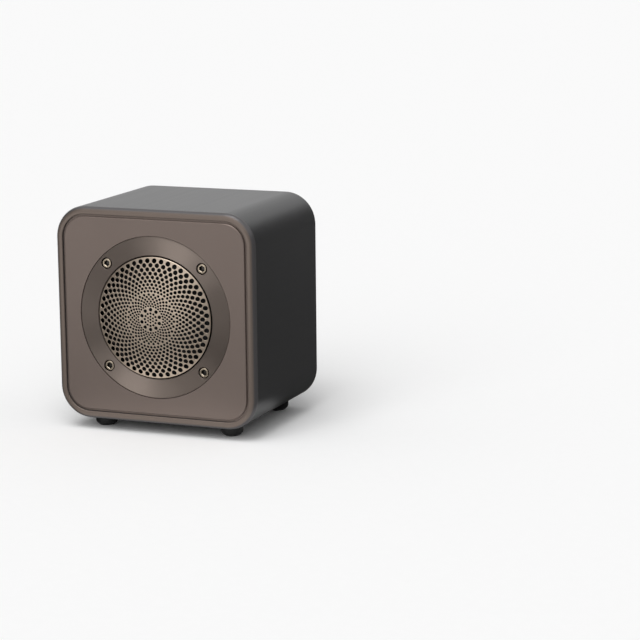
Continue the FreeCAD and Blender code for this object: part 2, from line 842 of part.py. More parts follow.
def make_driver_diaphragm():
    """What moves: surround, cone, dust cap, coil former, winding and spider."""
    outer = "(roll_middle + roll_half_width)"
    inner = "(roll_middle - roll_half_width)"
    flange_front = "(" + LEDGE + " - surround_flange)"
    cone_rim = "(" + inner + " - cone_lip)"
    roll = "((roll_half_width ^ 2 + roll_rise ^ 2) / 2 / roll_rise)"
    under_half = "(roll_half_width - surround_sheet)"
    under_rise = "(roll_rise - surround_sheet)"
    under_roll = "((" + under_half + " ^ 2 + " + under_rise + " ^ 2) / 2 / " + under_rise + ")"
    turned("surround", [
        ("ledge_step_radius - glue_gap", LEDGE),
        ("ledge_step_radius - glue_gap", flange_front),
        (outer, flange_front),
        (inner, flange_front, "-" + roll),
        (cone_rim, flange_front),
        (cone_rim, LEDGE),
        (inner + " + surround_sheet", LEDGE),
        (inner + " + surround_sheet", flange_front),
        (outer + " - surround_sheet", flange_front, under_roll),
        (outer + " - surround_sheet", LEDGE),
    ])
    neck = "(" + LEDGE + " + cone_depth)"
    turned("cone", [
        (cone_rim, LEDGE),
        (inner, LEDGE),
        (inner, LEDGE + " + cone_sheet"),
        (NECK_RADIUS, neck + " + cone_sheet"),
        (NECK_RADIUS, neck),
    ])
    slope = "(cone_depth / (" + cone_rim + " - " + NECK_RADIUS + "))"
    cap_edge = "(" + neck + " - (cap_dome_radius - " + NECK_RADIUS + ") * " + slope + " - glue_gap)"
    cap_top = "(" + cap_edge + " - cap_dome_rise)"
    dome = "((cap_dome_radius ^ 2 + cap_dome_rise ^ 2) / 2 / cap_dome_rise)"
    inside_radius = "(cap_dome_radius - cap_dome_sheet)"
    inside_rise = "(cap_dome_rise - cap_dome_sheet)"
    inside_dome = "((" + inside_radius + " ^ 2 + " + inside_rise + " ^ 2) / 2 / " + inside_rise + ")"
    turned("dust_cap", [
        ("0", cap_top + " + cap_dome_sheet", "-" + inside_dome),
        ("0", cap_top),
        ("cap_dome_radius", cap_edge, dome),
        (inside_radius, cap_edge),
    ])
    former_front = "(" + neck + " - glue_gap)"
    former_end = "(" + former_front + " + former_length)"
    turned("coil_former", [
        ("coil_radius", former_front),
        (FORMER_RADIUS, former_front),
        (FORMER_RADIUS, former_end),
        ("coil_radius", former_end),
    ])
    turned("coil_winding", [
        (FORMER_RADIUS, former_end + " - winding_length"),
        (FORMER_RADIUS + " + winding_sheet", former_end + " - winding_length"),
        (FORMER_RADIUS + " + winding_sheet", former_end),
        (FORMER_RADIUS, former_end),
    ])
    middle = "(" + SPIDER_SEAT + " - spider_sheet)"
    start = NECK_RADIUS
    crests = 5
    span = "((spider_seat_bore - " + start + ") / %d)" % (crests + 1)
    front_side = [(start, middle)]
    for crest in range(crests):
        sign = "-" if crest % 2 == 0 else "+"
        front_side.append(("%s + %d * %s" % (start, crest + 1, span), "%s %s spider_wave" % (middle, sign)))
    front_side += [("spider_seat_bore", middle), ("spider_seat_radius - glue_gap", middle)]
    back_side = [(radius, depth + " + spider_sheet") for radius, depth in reversed(front_side)]
    turned("spider", front_side + back_side)


def make_terminals():
    """An insulating strip behind the basket's step, with two solder tags."""
    strip_front = SPIDER_SEAT + " + basket_sheet"
    strip_low = "(spider_seat_bore + basket_sheet + glue_gap)"
    strip = block("terminal_strip", "0", strip_front, strip_low + " + strip_height / 2",
                  "strip_width", "strip_thickness", "strip_height")
    keep(strip, "terminal_strip")
    tags = []
    for sign in ("-", "+"):
        tags.append(block("terminal_tag", "0 %s tag_spacing / 2" % sign, strip_front + " + strip_thickness",
                          strip_low + " + strip_height / 2", "tag_width", "tag_length", "tag_sheet"))
    group("terminal_tags", tags)


# Rear panel, controls and circuit board

BUTTONS = [("power", "0 - button_spacing"), ("volume_down", "0"), ("volume_up", "0 + button_spacing")]
POSTS = four("post_spread_x / 2", "post_spread_z / 2")
LIGHT_X = "0 - button_spacing"
LIGHT_Z = "button_height + light_rise"
PLUGS = {
    "speaker_plug": ("speaker_plug_across", "board_place + speaker_plug_up"),
    "battery_plug": ("0 - battery_plug_across", "board_place - battery_plug_down"),
}


def make_rear_panel():
    """A flat cover with bosses for the circuit board and openings for the controls."""
    body = new_body("rear_panel")
    plate = front_sketch(body, REAR_SEAT)
    rounded_rectangle(plate, INNER_HALF_WIDTH + " - rear_gap", INNER_HALF_HEIGHT + " - rear_gap",
                      INNER_CORNER + " - rear_gap")
    pad(body, plate, "rear_thickness")
    posts = front_sketch(body, BOARD_REAR)
    for x, z in POSTS:
        circle(posts, "post_radius", x, "board_place + " + z)
    pad(body, posts, "post_length")
    pins = front_sketch(body, BOARD_FRONT)
    for x, z in POSTS:
        circle(pins, "post_pin_radius", x, "board_place + " + z)
    pad(body, pins, "board_thickness")

    holes = front_sketch(body, REAR_SEAT)
    for _, x in BUTTONS:
        circle(holes, "button_radius + button_gap", x, "button_height")
    circle(holes, "light_radius + light_gap", LIGHT_X, LIGHT_Z)
    rounded_rectangle(holes, "(socket_width / 2 + socket_gap)", "(socket_height / 2 + socket_gap)",
                      "(socket_round + socket_gap)", "0", "socket_place")
    for x, z in four(SCREW_X, SCREW_Z):
        circle(holes, "low_radius + low_clearance", x, z)
    cut(body, holes, "rear_thickness")
    bores = front_sketch(body, REAR_FACE)
    for x, z in four(SCREW_X, SCREW_Z):
        circle(bores, "low_head_radius + low_head_gap", x, z)
    cut(body, bores, "low_head_height + low_head_inset", frontward=True)


def make_buttons():
    """Three push buttons held behind the panel by their flanges, each on the plunger of its switch."""
    flange_rear = "(" + REAR_SEAT + " - button_play)"
    flange_front = "(" + flange_rear + " - button_flange_thickness)"
    face = "(" + REAR_FACE + " + button_proud)"
    plunger_end = "(" + BOARD_REAR + " + switch_height - switch_bore_depth + plunger_gap + plunger_length)"
    switches = []
    for name, x in BUTTONS:
        body = new_body(name + "_button", x, "0", "button_height")
        sketch = sketch_on(body, "XY_Plane")
        outline(sketch, [
            ("0", face),
            ("0", plunger_end),
            ("stem_radius", plunger_end),
            ("stem_radius", flange_front),
            ("button_radius + button_flange", flange_front),
            ("button_radius + button_flange", flange_rear),
            ("button_radius", flange_rear),
            ("button_radius", face + " - button_round"),
            ("button_radius - button_round", face, "button_round"),
        ])
        revolve(body, sketch)
        plunger = rod(name + "_plunger", (x, plunger_end, "button_height"), TO_FRONT,
                      "plunger_radius", "plunger_length")
        keep(plunger, name + "_plunger")
        base = block(name + "_switch_base", x, BOARD_REAR, "button_height", "switch_size", "switch_height",
                     "switch_size")
        bore = rod(name + "_switch_bore", (x, BOARD_REAR + " + switch_height", "button_height"), TO_FRONT,
                   "plunger_radius + plunger_gap", "switch_bore_depth")
        switches.append(less(name + "_switch", base, bore))
    group("tact_switches", switches)


def make_status_light():
    """A clear light pipe over a small lamp on the board."""
    light = new_body("status_light", LIGHT_X, "0", LIGHT_Z)
    sketch = sketch_on(light, "XY_Plane")
    start = BOARD_REAR + " + led_height + light_led_gap"
    outline(sketch, [
        ("0", start),
        ("light_radius", start),
        ("light_radius", REAR_SEAT + " - light_flange_thickness"),
        ("light_radius + light_flange", REAR_SEAT + " - light_flange_thickness"),
        ("light_radius + light_flange", REAR_SEAT),
        ("light_radius", REAR_SEAT),
        ("light_radius", REAR_FACE),
        ("0", REAR_FACE),
    ])
    revolve(light, sketch)
    lamp = block("status_lamp", LIGHT_X, BOARD_REAR, LIGHT_Z, "led_size", "led_height", "led_size")
    keep(lamp, "status_lamp")


def make_charge_socket():
    """An upright charging socket: a drawn shell with a tongue inside."""
    body = new_body("charge_socket", "0", "0", "socket_place")
    shell = front_sketch(body, BOARD_REAR)
    rounded_rectangle(shell, "(socket_width / 2)", "(socket_height / 2)", "socket_round")
    length = "(" + REAR_FACE + " - socket_inset - " + BOARD_REAR + ")"
    pad(body, shell, length)
    mouth = front_sketch(body, BOARD_REAR + " + " + length)
    rounded_rectangle(mouth, "(socket_width / 2 - socket_wall)", "(socket_height / 2 - socket_wall)",
                      "(socket_round - socket_wall)")
    cut(body, mouth, "tongue_length + tongue_inset", frontward=True)
    tongue = front_sketch(body, BOARD_REAR + " + " + length + " - tongue_length - tongue_inset")
    rounded_rectangle(tongue, "(tongue_width / 2)", "(tongue_height / 2)", "tongue_round")
    pad(body, tongue, "tongue_length")


def make_main_board():
    """The circuit board and what stands on it."""
    board = new_body("main_board", "0", "0", "board_place")
    plate = front_sketch(board, BOARD_FRONT)
    rounded_rectangle(plate, "(board_width / 2)", "(board_height / 2)", "board_round")
    pad(board, plate, "board_thickness")
    holes = front_sketch(board, BOARD_FRONT)
    for x, z in POSTS:
        circle(holes, "post_pin_radius + post_pin_gap", x, z)
    cut(board, holes)

    module = block("radio_module", "0 - module_across", BOARD_FRONT + " - module_thickness",
                   "board_place + module_up", "module_width", "module_thickness", "module_height")
    keep(module, "radio_module")
    chip = block("amplifier_chip", "0", BOARD_FRONT + " - chip_thickness", "board_place",
                 "chip_size", "chip_thickness", "chip_size")
    keep(chip, "amplifier_chip")
    cans = []
    for step in (0, 1, 2):
        across = "chip_size + capacitor_radius + %d * capacitor_pitch" % step
        cans.append(rod("capacitor", (across, BOARD_FRONT, "board_place - capacitor_down"), TO_FRONT,
                        "capacitor_radius", "capacitor_length"))
    group("capacitors", cans)
    coils = []
    for step in (0, 1):
        across = "chip_size + coil_size / 2 + %d * coil_pitch" % step
        coils.append(block("filter_coil", across, BOARD_FRONT + " - coil_height",
                           "board_place + coil_size / 2", "coil_size", "coil_height", "coil_size"))
    group("filter_coils", coils)
    for label, (x, z) in PLUGS.items():
        plug = block(label, x, BOARD_FRONT + " - plug_length", z, "plug_width", "plug_length", "plug_height")
        keep(plug, label)


# Battery, foam and leads

# The share of the shorter run that an arc takes, and how far a tube's volume may be from section times length
BEND_SHARE = 0.45
VOLUME_SHARE = 0.02


def make_battery():
    """Two cells in an open tray on an adhesive pad, with sheet contacts at their ends."""
    tray_low = FLOOR + " + pad_thickness"
    middle_z = tray_low + " + holder_height / 2"
    tray_front = "cell_middle - " + HOLDER_HALF_WIDTH
    pad_piece = block("battery_pad", "0", tray_front, FLOOR + " + pad_thickness / 2",
                      "2 * " + HOLDER_HALF_LENGTH, "2 * " + HOLDER_HALF_WIDTH, "pad_thickness")
    keep(pad_piece, "battery_pad")
    outer = block("battery_tray_block", "0", tray_front, middle_z, "2 * " + HOLDER_HALF_LENGTH,
                  "2 * " + HOLDER_HALF_WIDTH, "holder_height")
    bays = []
    contacts = []
    inner_half = "(cell_length / 2 + contact_reach + contact_sheet)"
    for name, sign in (("front", "-"), ("rear", "+")):
        depth = "cell_middle %s %s" % (sign, CELL_STEP)
        width = "(2 * cell_radius + 2 * cell_gap)"
        bays.append(block("battery_bay", "0", depth + " - " + width + " / 2",
                          tray_low + " + holder_wall + holder_height / 2",
                          "2 * " + inner_half, width, "holder_height"))
        cell = rod("battery_cell_" + name, ("0 - cell_length / 2", depth, CELL_HEIGHT), TO_RIGHT,
                   "cell_radius", "cell_length")
        keep(cell, "battery_cell_" + name)
        for end, turn, side in (("left", TO_RIGHT, "-"), ("right", TO_LEFT, "+")):
            face = "0 %s (cell_length / 2 + contact_reach)" % side
            middle = face + " %s contact_sheet / 2" % side
            plate = block("contact_plate", middle, depth + " - contact_width / 2",
                          tray_low + " + holder_wall + holder_height / 2 + contact_sheet",
                          "contact_sheet", "contact_width", "holder_height")
            button = primitive("Cone", "contact_button", (face, depth, CELL_HEIGHT), turn,
                               Radius1="contact_base_radius", Radius2="contact_tip_radius",
                               Height="contact_reach")
            contacts.append(joined("contact_" + name + "_" + end, [plate, button]))
    keep(less("battery_holder", outer, *bays), "battery_holder")
    group("battery_contacts", contacts)


def make_foam():
    """A block of damping foam stuck under the cabinet's top."""
    body = new_body("damping_foam")
    section = front_sketch(body, "foam_start")
    low = INNER_HALF_HEIGHT + " - foam_thickness"
    half = "(foam_width / 2)"
    outline(section, [
        (half, INNER_HALF_HEIGHT),
        ("0 - " + half, INNER_HALF_HEIGHT),
        ("0 - " + half, low + " + foam_round"),
        ("0 - " + half + " + foam_round", low, "foam_round"),
        (half + " - foam_round", low),
        (half, low + " + foam_round", "foam_round"),
    ])
    pad(body, section, "foam_length")


def lead_path(points):
    """Straight runs joined by tangent arcs, each arc as large as its two runs allow."""
    edges = []
    here = points[0]
    for before, corner, after in zip(points, points[1:], points[2:]):
        back = before - corner
        ahead = after - corner
        turn = math.pi - back.getAngle(ahead)
        reach = BEND_SHARE * min(back.Length, ahead.Length)
        start = corner + back * (reach / back.Length)
        end = corner + ahead * (reach / ahead.Length)
        radius = reach / math.tan(turn / 2)
        bisector = (back.normalize() + ahead.normalize()).normalize()
        middle = corner + bisector * (radius / math.cos(turn / 2) - radius)
        edges.append(Part.LineSegment(here, start).toShape())
        edges.append(Part.Arc(start, middle, end).toShape())
        here = end
    edges.append(Part.LineSegment(here, points[-1]).toShape())
    return Part.Wire(edges)


def lead(points):
    """One insulated lead along a path."""
    path = lead_path(points)
    ring = Part.Circle(points[0], points[1] - points[0], num("lead_radius")).toShape()
    tube = path.makePipeShell([Part.Wire([ring])], True, True)
    expected = math.pi * num("lead_radius") ** 2 * path.Length
    if abs(tube.Volume - expected) > VOLUME_SHARE * expected:
        raise RuntimeError("a lead's volume is not its section times its length")
    return tube


def make_leads():
    """Two pairs of leads, from the driver's tags and the battery's left end to their plugs on the board."""
    tag_end = num(SPIDER_SEAT + " + basket_sheet + strip_thickness + tag_length")
    tag_height = num("spider_seat_bore + basket_sheet + glue_gap + strip_height / 2")
    past_yoke = num(YOKE_FRONT + " + yoke_thickness + lead_yoke_gap")
    plug_front = num(BOARD_FRONT + " - plug_length")
    contact_x = num("0 - cell_length / 2 - contact_reach - contact_sheet / 2")
    contact_top = num(FLOOR + " + pad_thickness + holder_wall + holder_height + contact_sheet")
    straight = num("lead_straight")
    bend = num("lead_bend")
    speaker_pair = []
    battery_pair = []
    for side in (-1, 1):
        tag_x = side * num("tag_spacing / 2")
        plug_x = num(PLUGS["speaker_plug"][0]) + side * num("lead_pitch / 2")
        plug_z = num(PLUGS["speaker_plug"][1])
        speaker_pair.append(lead([
            Vector(tag_x, tag_end, tag_height),
            Vector(tag_x, tag_end + straight, tag_height),
            Vector(tag_x + straight / 2, past_yoke, tag_height + straight),
            Vector(plug_x, plug_front - bend, plug_z + bend),
            Vector(plug_x, plug_front - straight, plug_z),
            Vector(plug_x, plug_front, plug_z),
        ]))
        cell_depth = num("cell_middle + %d * %s" % (side, CELL_STEP))
        plug_x = num(PLUGS["battery_plug"][0]) + side * num("lead_pitch / 2")
        plug_z = num(PLUGS["battery_plug"][1])
        swing_x = plug_x - num("lead_swing") + side * num("lead_fan")
        battery_pair.append(lead([
            Vector(contact_x, cell_depth, contact_top),
            Vector(contact_x, cell_depth, contact_top + straight),
            Vector(swing_x, plug_front - bend, plug_z + straight / 2),
            Vector(plug_x, plug_front - straight, plug_z),
            Vector(plug_x, plug_front, plug_z),
        ]))
    for label, tubes in (("speaker_leads", speaker_pair), ("battery_leads", battery_pair)):
        item = doc.addObject("Part::Feature", label)
        item.Shape = Part.makeCompound(tubes)
        item.Placement = FreeCAD.Placement(Vector(0, num(FRONT), num(MIDDLE)), Rotation())
        keep(item, label)


# Fasteners and feet

def make_screws():
    """Cap screws in the ring, and low-head screws under the panel and in the rear panel."""
    cap_top = "(ring_inset + cap_head_inset)"
    group("front_screws", [socket_screw("front_screw", x, cap_top, z, TO_REAR, "cap")
                           for x, z in four(CAP_OFFSET, CAP_OFFSET)])
    hidden_top = "(" + PANEL_SEAT + " + low_head_inset)"
    group("baffle_screws", [socket_screw("baffle_screw", x, hidden_top, z, TO_REAR, "low")
                            for x, z in four(SCREW_X, SCREW_Z)])
    rear_top = "(" + REAR_FACE + " - low_head_inset)"
    group("rear_screws", [socket_screw("rear_screw", x, rear_top, z, TO_FRONT, "low")
                          for x, z in four(SCREW_X, SCREW_Z)])


def make_feet():
    """Four push-in rubber feet. A stem passes the cabinet's floor and a head grips it from inside."""
    base = "0 - " + HALF_HEIGHT + " - foot_height"
    for end, depth in (("front", "foot_front"), ("rear", "foot_rear")):
        for side, sign in (("left", "-"), ("right", "+")):
            body = new_body("foot_%s_%s" % (end, side), "0 %s foot_spread / 2" % sign, depth, base)
            sketch = sketch_on(body, "XZ_Plane")
            head = "(foot_height + wall + foot_gap)"
            outline(sketch, [
                ("0", "0"),
                ("foot_tip_radius", "0"),
                ("foot_radius", "foot_taper"),
                ("foot_radius", "foot_height"),
                ("foot_stem_radius", "foot_height"),
                ("foot_stem_radius", head),
                ("foot_head_radius", head),
                ("foot_stem_radius", head + " + foot_head_height"),
                ("0", head + " + foot_head_height"),
            ])
            revolve(body, sketch)


make_cabinet()
make_front_bezel()
make_front_panel()
make_trim_ring()
make_grille()
make_driver_frame()
make_driver_motor()
make_driver_diaphragm()
make_terminals()
make_rear_panel()
make_buttons()
make_status_light()
make_charge_socket()
make_main_board()
make_battery()
make_foam()
make_leads()
make_screws()
make_feet()
doc.recompute()

for item in doc.Objects:
    if "Invalid" in item.State or "Error" in item.State:
        raise RuntimeError("%s failed: %s" % (item.Label, item.State))
for item in parts:
    if item.Shape.isNull() or not item.Shape.isValid() or not item.Shape.Solids:
        raise RuntimeError("%s has no valid solid" % item.Label)

os.makedirs("parts", exist_ok=True)
for item in parts:
    item.Shape.exportStep("parts/%s.step" % item.Label)
print("%d sub-parts written" % len(parts))
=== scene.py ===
import json
import math

import bmesh
import bpy
from mathutils import Matrix, Vector


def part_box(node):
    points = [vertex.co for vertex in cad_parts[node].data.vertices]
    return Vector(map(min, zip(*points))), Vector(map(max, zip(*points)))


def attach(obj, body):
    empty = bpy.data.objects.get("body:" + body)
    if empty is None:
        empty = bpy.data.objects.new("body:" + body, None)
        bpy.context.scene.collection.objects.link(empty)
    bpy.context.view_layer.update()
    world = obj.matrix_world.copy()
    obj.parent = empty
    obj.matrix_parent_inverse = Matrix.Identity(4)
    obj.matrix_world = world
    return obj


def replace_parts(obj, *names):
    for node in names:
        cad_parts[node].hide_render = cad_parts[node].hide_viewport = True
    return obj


# A cube-like portable wireless speaker on a pale studio floor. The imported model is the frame: the pieces that
# show are remade here with finer edges, and every other solid keeps its shape and gets its material.

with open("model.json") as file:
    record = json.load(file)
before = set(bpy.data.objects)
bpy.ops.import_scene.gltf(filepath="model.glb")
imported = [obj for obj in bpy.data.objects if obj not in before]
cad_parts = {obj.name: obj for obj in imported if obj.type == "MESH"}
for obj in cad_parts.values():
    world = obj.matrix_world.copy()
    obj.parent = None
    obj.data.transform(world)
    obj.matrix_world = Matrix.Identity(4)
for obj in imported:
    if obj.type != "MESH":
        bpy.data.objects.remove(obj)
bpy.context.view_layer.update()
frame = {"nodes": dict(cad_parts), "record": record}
nodes = frame["nodes"]
slot_of = {row["node"]: row["material_slot"] for row in frame["record"]["subparts"]}

MM = 0.001

# Driving sizes, in millimetres as in the part's source
PANEL_HALF = 54.4
PANEL_CORNER = 12.4
PANEL_INSET = 0.2
PANEL_THICKNESS = 2.0
PANEL_CHAMFER = 0.3
PANEL_REBATE = 1.3
PANEL_FOOT_HALF = 55.6
PANEL_BORE = 45.55
RING_RADIUS = 45.4
RING_BORE = 34.6
RING_INSET = 0.6
RING_THICKNESS = 5.0
RING_CHAMFER = 0.3
CAP_CIRCLE = 40.8
CAP_COUNTERBORE = 3.25
CAP_COUNTERBORE_DEPTH = 3.2
CAP_HOLE = 1.7
CAP_HEAD_RADIUS = 2.75
CAP_HEAD_HEIGHT = 3.0
CAP_HEAD_INSET = 0.2
CAP_HEAD_ROUND = 0.5
CAP_SOCKET = 2.5
CAP_SOCKET_DEPTH = 1.6
CAP_SOCKET_LEAD_IN = 0.45
CAP_SHANK_RADIUS = 1.5
CAP_SHANK_LENGTH = 8.0
CAP_STEPS = 48
CAP_HEAD_STEPS = 4
CAP_SOCKET_SIDES = 6
GRILLE_RADIUS = 34.0
GRILLE_PROUD = 5.1
GRILLE_RISE = 5.1
GRILLE_SHEET = 0.6
GRILLE_RIM_ROUND = 0.6
GRILLE_FLANGE_RADIUS = 37.8
GRILLE_FLANGE_FRONT = 5.0
GRILLE_TURN = 1.5
# The dome is a part of a ball, with its middle this far from the bezel's front plane.
DOME_SHOULDER = GRILLE_RADIUS - GRILLE_RIM_ROUND
DOME_RADIUS = (DOME_SHOULDER ** 2 + GRILLE_RISE ** 2) / (2 * GRILLE_RISE)
DOME_MIDDLE = GRILLE_PROUD - DOME_RADIUS
HOLE_CHAMFER = 0.08
HOLE_STEPS = 16
GRILLE_RIM_STEPS = 6
# The holes lie in rings, all on the same middle. The four middle ones are (ring radius, holes, hole radius).
MIDDLE_RINGS = [(0.0, 1, 0.62), (1.7, 6, 0.6), (3.45, 12, 0.67), (5.55, 10, 1.02)]
INNER_RINGS = 6
INNER_HOLES = 30
INNER_RADIUS = 7.55
INNER_PITCH = 1.25
INNER_HOLE = 0.6
INNER_HOLE_GROWTH = 0.03
OUTER_RINGS = 9
OUTER_HOLES = 48
OUTER_RADIUS = 15.7
OUTER_PITCH = 1.7
OUTER_PITCH_GROWTH = 0.047
OUTER_HOLE = 0.74
OUTER_HOLE_GROWTH = 0.038
FOOT_HEIGHT = 6.4
FOOT_RADIUS = 6.2
FOOT_TIP_RADIUS = 4.2
FOOT_TAPER = 2.1
FOOT_ROUND = 0.9
FOOT_STEM_RADIUS = 2.4
FOOT_HEAD_RADIUS = 3.3
FOOT_HEAD_START = 10.0
FOOT_HEAD_END = 12.0
FOOT_STEPS = 64
FOOT_ROUND_STEPS = 5
MARK_THICKNESS = 0.08
MARK_LENGTH = 3.2
MARK_WIDTH = 0.45
MARK_RING = 1.5
MARK_OPENING = 35
MARK_END_STEPS = 6
MARK_RING_STEPS = 40
MARK_BAR_PLACE = 0.75
# A bar's ends are rounded by just under half its width, so that the two arcs don't meet in one corner.
MARK_END_SHARE = 0.49

# The middle of the bezel's front plane. Pieces of the front are modelled lying on their backs, with X to the
# right, Y up the front and Z out of it, and are then stood up here.
FRONT_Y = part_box("front_bezel")[0].y
MIDDLE_Z = sum(corner.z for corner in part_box("front_bezel")) / 2
STAND_UP = (
    Matrix.Translation((0, FRONT_Y, MIDDLE_Z))
    @ Matrix.Rotation(math.radians(90), 4, "X")
    @ Matrix.Scale(MM, 4)
)

MERGE_DISTANCE = 0.000001
SHARP_ANGLE = math.radians(35)
FLAT_ANGLE = math.radians(0.3)
ROUND_STEPS = 192
CORNER_STEPS = 24


# Materials

# Depths in millimetres over which a finish changes, or over which shade painted in holes and sockets sets in
BEZEL_FADE = (0.1, 0.9)
HOLE_SHADE_DEPTHS = (0.06, 0.3)
SOCKET_SHADE_DEPTHS = (0.05, 0.3)
# Grit and turning lines in millimetres. The real ones are too fine to show, so all are drawn coarser.
CABINET_GRIT = 0.4
BEZEL_GRIT = 0.35
SHEET_GRIT = 0.3
TURNED_LINE = 0.35
# How high the relief of plated metal and of foam stands, in millimetres
PLATED_RELIEF = 0.004
FOAM_RELIEF = 0.3


def linear(hex_colour):
    """An sRGB hex colour as linear red, green, blue and alpha."""
    channels = [int(hex_colour[i:i + 2], 16) / 255 for i in (1, 3, 5)]
    return [c / 12.92 if c <= 0.04045 else ((c + 0.055) / 1.055) ** 2.4 for c in channels] + [1.0]


def per_mm(size):
    """The scale of a pattern on Object coordinates, in metres, whose features are size millimetres apart."""
    return 1 / (size * MM)


def add(tree, kind, inputs, **settings):
    """Add a node with its settings. An input takes a constant or another node's output."""
    node = tree.nodes.new(kind)
    for name, value in settings.items():
        setattr(node, name, value)
    for name, value in inputs.items():
        if isinstance(value, bpy.types.NodeSocket):
            tree.links.new(value, node.inputs[name])
        else:
            node.inputs[name].default_value = value
    return node


def new_material(name):
    """An empty material, its tree, its shader and its Object coordinates."""
    material = bpy.data.materials.new(name)
    material.use_nodes = True
    tree = material.node_tree
    shader = tree.nodes["Principled BSDF"]
    place = add(tree, "ShaderNodeTexCoord", {}).outputs["Object"]
    return material, tree, shader, place


def finish(tree, shader, colour, roughness, bump=None):
    """Link a material's colour, roughness and relief to its shader."""
    tree.links.new(colour, shader.inputs["Base Color"])
    tree.links.new(roughness, shader.inputs["Roughness"])
    if bump is not None:
        tree.links.new(bump, shader.inputs["Normal"])


def depth_behind(tree, place, start, end):
    """0 in front of a depth behind the front plane and 1 past another, both in millimetres."""
    split = add(tree, "ShaderNodeSeparateXYZ", {"Vector": place})
    ramp = add(tree, "ShaderNodeMapRange", {"Value": split.outputs["Y"], "From Min": FRONT_Y + start * MM,
                                            "From Max": FRONT_Y + end * MM}, interpolation_type="SMOOTHSTEP")
    return ramp.outputs["Result"]


def satin_charcoal_aluminium():
    """Extruded aluminium, blasted and anodised charcoal: faint streaks along the extrusion, a soft sheen."""
    material, tree, shader, place = new_material("satin_charcoal_aluminium")
    along = add(tree, "ShaderNodeMapping", {"Vector": place, "Scale": (1, 0.02, 1)})
    streak = add(tree, "ShaderNodeTexNoise", {"Vector": along.outputs[0], "Scale": per_mm(2.2),
                                              "Detail": 4.0})
    cloud = add(tree, "ShaderNodeTexNoise", {"Vector": place, "Scale": per_mm(45), "Detail": 3.0})
    grit = add(tree, "ShaderNodeTexNoise", {"Vector": place, "Scale": per_mm(CABINET_GRIT), "Detail": 2.0})
    tone = add(tree, "ShaderNodeMix", {"Factor": streak.outputs["Fac"], "A": linear("#1a1a1b"),
                                       "B": linear("#1f1f20")}, data_type="RGBA")
    drift = add(tree, "ShaderNodeMix", {"Factor": cloud.outputs["Fac"], "A": tone.outputs["Result"],
                                        "B": linear("#1d1d1e")}, data_type="RGBA")
    gloss = add(tree, "ShaderNodeMapRange", {"Value": streak.outputs["Fac"], "To Min": 0.35, "To Max": 0.39})
    bump = add(tree, "ShaderNodeBump", {"Height": grit.outputs["Fac"], "Strength": 0.05, "Distance": 0.00004})
    finish(tree, shader, drift.outputs["Result"], gloss.outputs["Result"], bump.outputs["Normal"])
    return material


def two_tone_bezel():
    """Metallic paint on a moulded bezel: bronze on the flat lip, gunmetal where the edge rounds over."""
    material, tree, shader, place = new_material("bronze_to_gunmetal_bezel")
    grit = add(tree, "ShaderNodeTexNoise", {"Vector": place, "Scale": per_mm(BEZEL_GRIT), "Detail": 2.0})
    bronze = add(tree, "ShaderNodeMix", {"Factor": grit.outputs["Fac"], "A": linear("#6f635b"),
                                         "B": linear("#766a62")}, data_type="RGBA")
    gunmetal = add(tree, "ShaderNodeMix", {"Factor": grit.outputs["Fac"], "A": linear("#4f4d4e"),
                                           "B": linear("#565455")}, data_type="RGBA")
    tone = add(tree, "ShaderNodeMix", {"Factor": depth_behind(tree, place, *BEZEL_FADE),
                                       "A": bronze.outputs["Result"], "B": gunmetal.outputs["Result"]},
               data_type="RGBA")
    gloss = add(tree, "ShaderNodeMapRange", {"Value": grit.outputs["Fac"], "To Min": 0.3, "To Max": 0.38})
    bump = add(tree, "ShaderNodeBump", {"Height": grit.outputs["Fac"], "Strength": 0.06, "Distance": 0.00003})
    finish(tree, shader, tone.outputs["Result"], gloss.outputs["Result"], bump.outputs["Normal"])
    shader.inputs["Metallic"].default_value = 0.5
    return material


def bronze_panel_metal():
    """Blasted aluminium plate, anodised bronze: an even matt sheen, fine grit and a slow drift in tone."""
    material, tree, shader, place = new_material("bronze_panel_metal")
    cloud = add(tree, "ShaderNodeTexNoise", {"Vector": place, "Scale": per_mm(30), "Detail": 3.0})
    grit = add(tree, "ShaderNodeTexNoise", {"Vector": place, "Scale": per_mm(SHEET_GRIT), "Detail": 2.0})
    tone = add(tree, "ShaderNodeMix", {"Factor": cloud.outputs["Fac"], "A": linear("#7d7069"),
                                       "B": linear("#82756e")}, data_type="RGBA")
    gloss = add(tree, "ShaderNodeMapRange", {"Value": grit.outputs["Fac"], "To Min": 0.38, "To Max": 0.46})
    bump = add(tree, "ShaderNodeBump", {"Height": grit.outputs["Fac"], "Strength": 0.08, "Distance": 0.00003})
    finish(tree, shader, tone.outputs["Result"], gloss.outputs["Result"], bump.outputs["Normal"])
    shader.inputs["Metallic"].default_value = 0.7
    return material


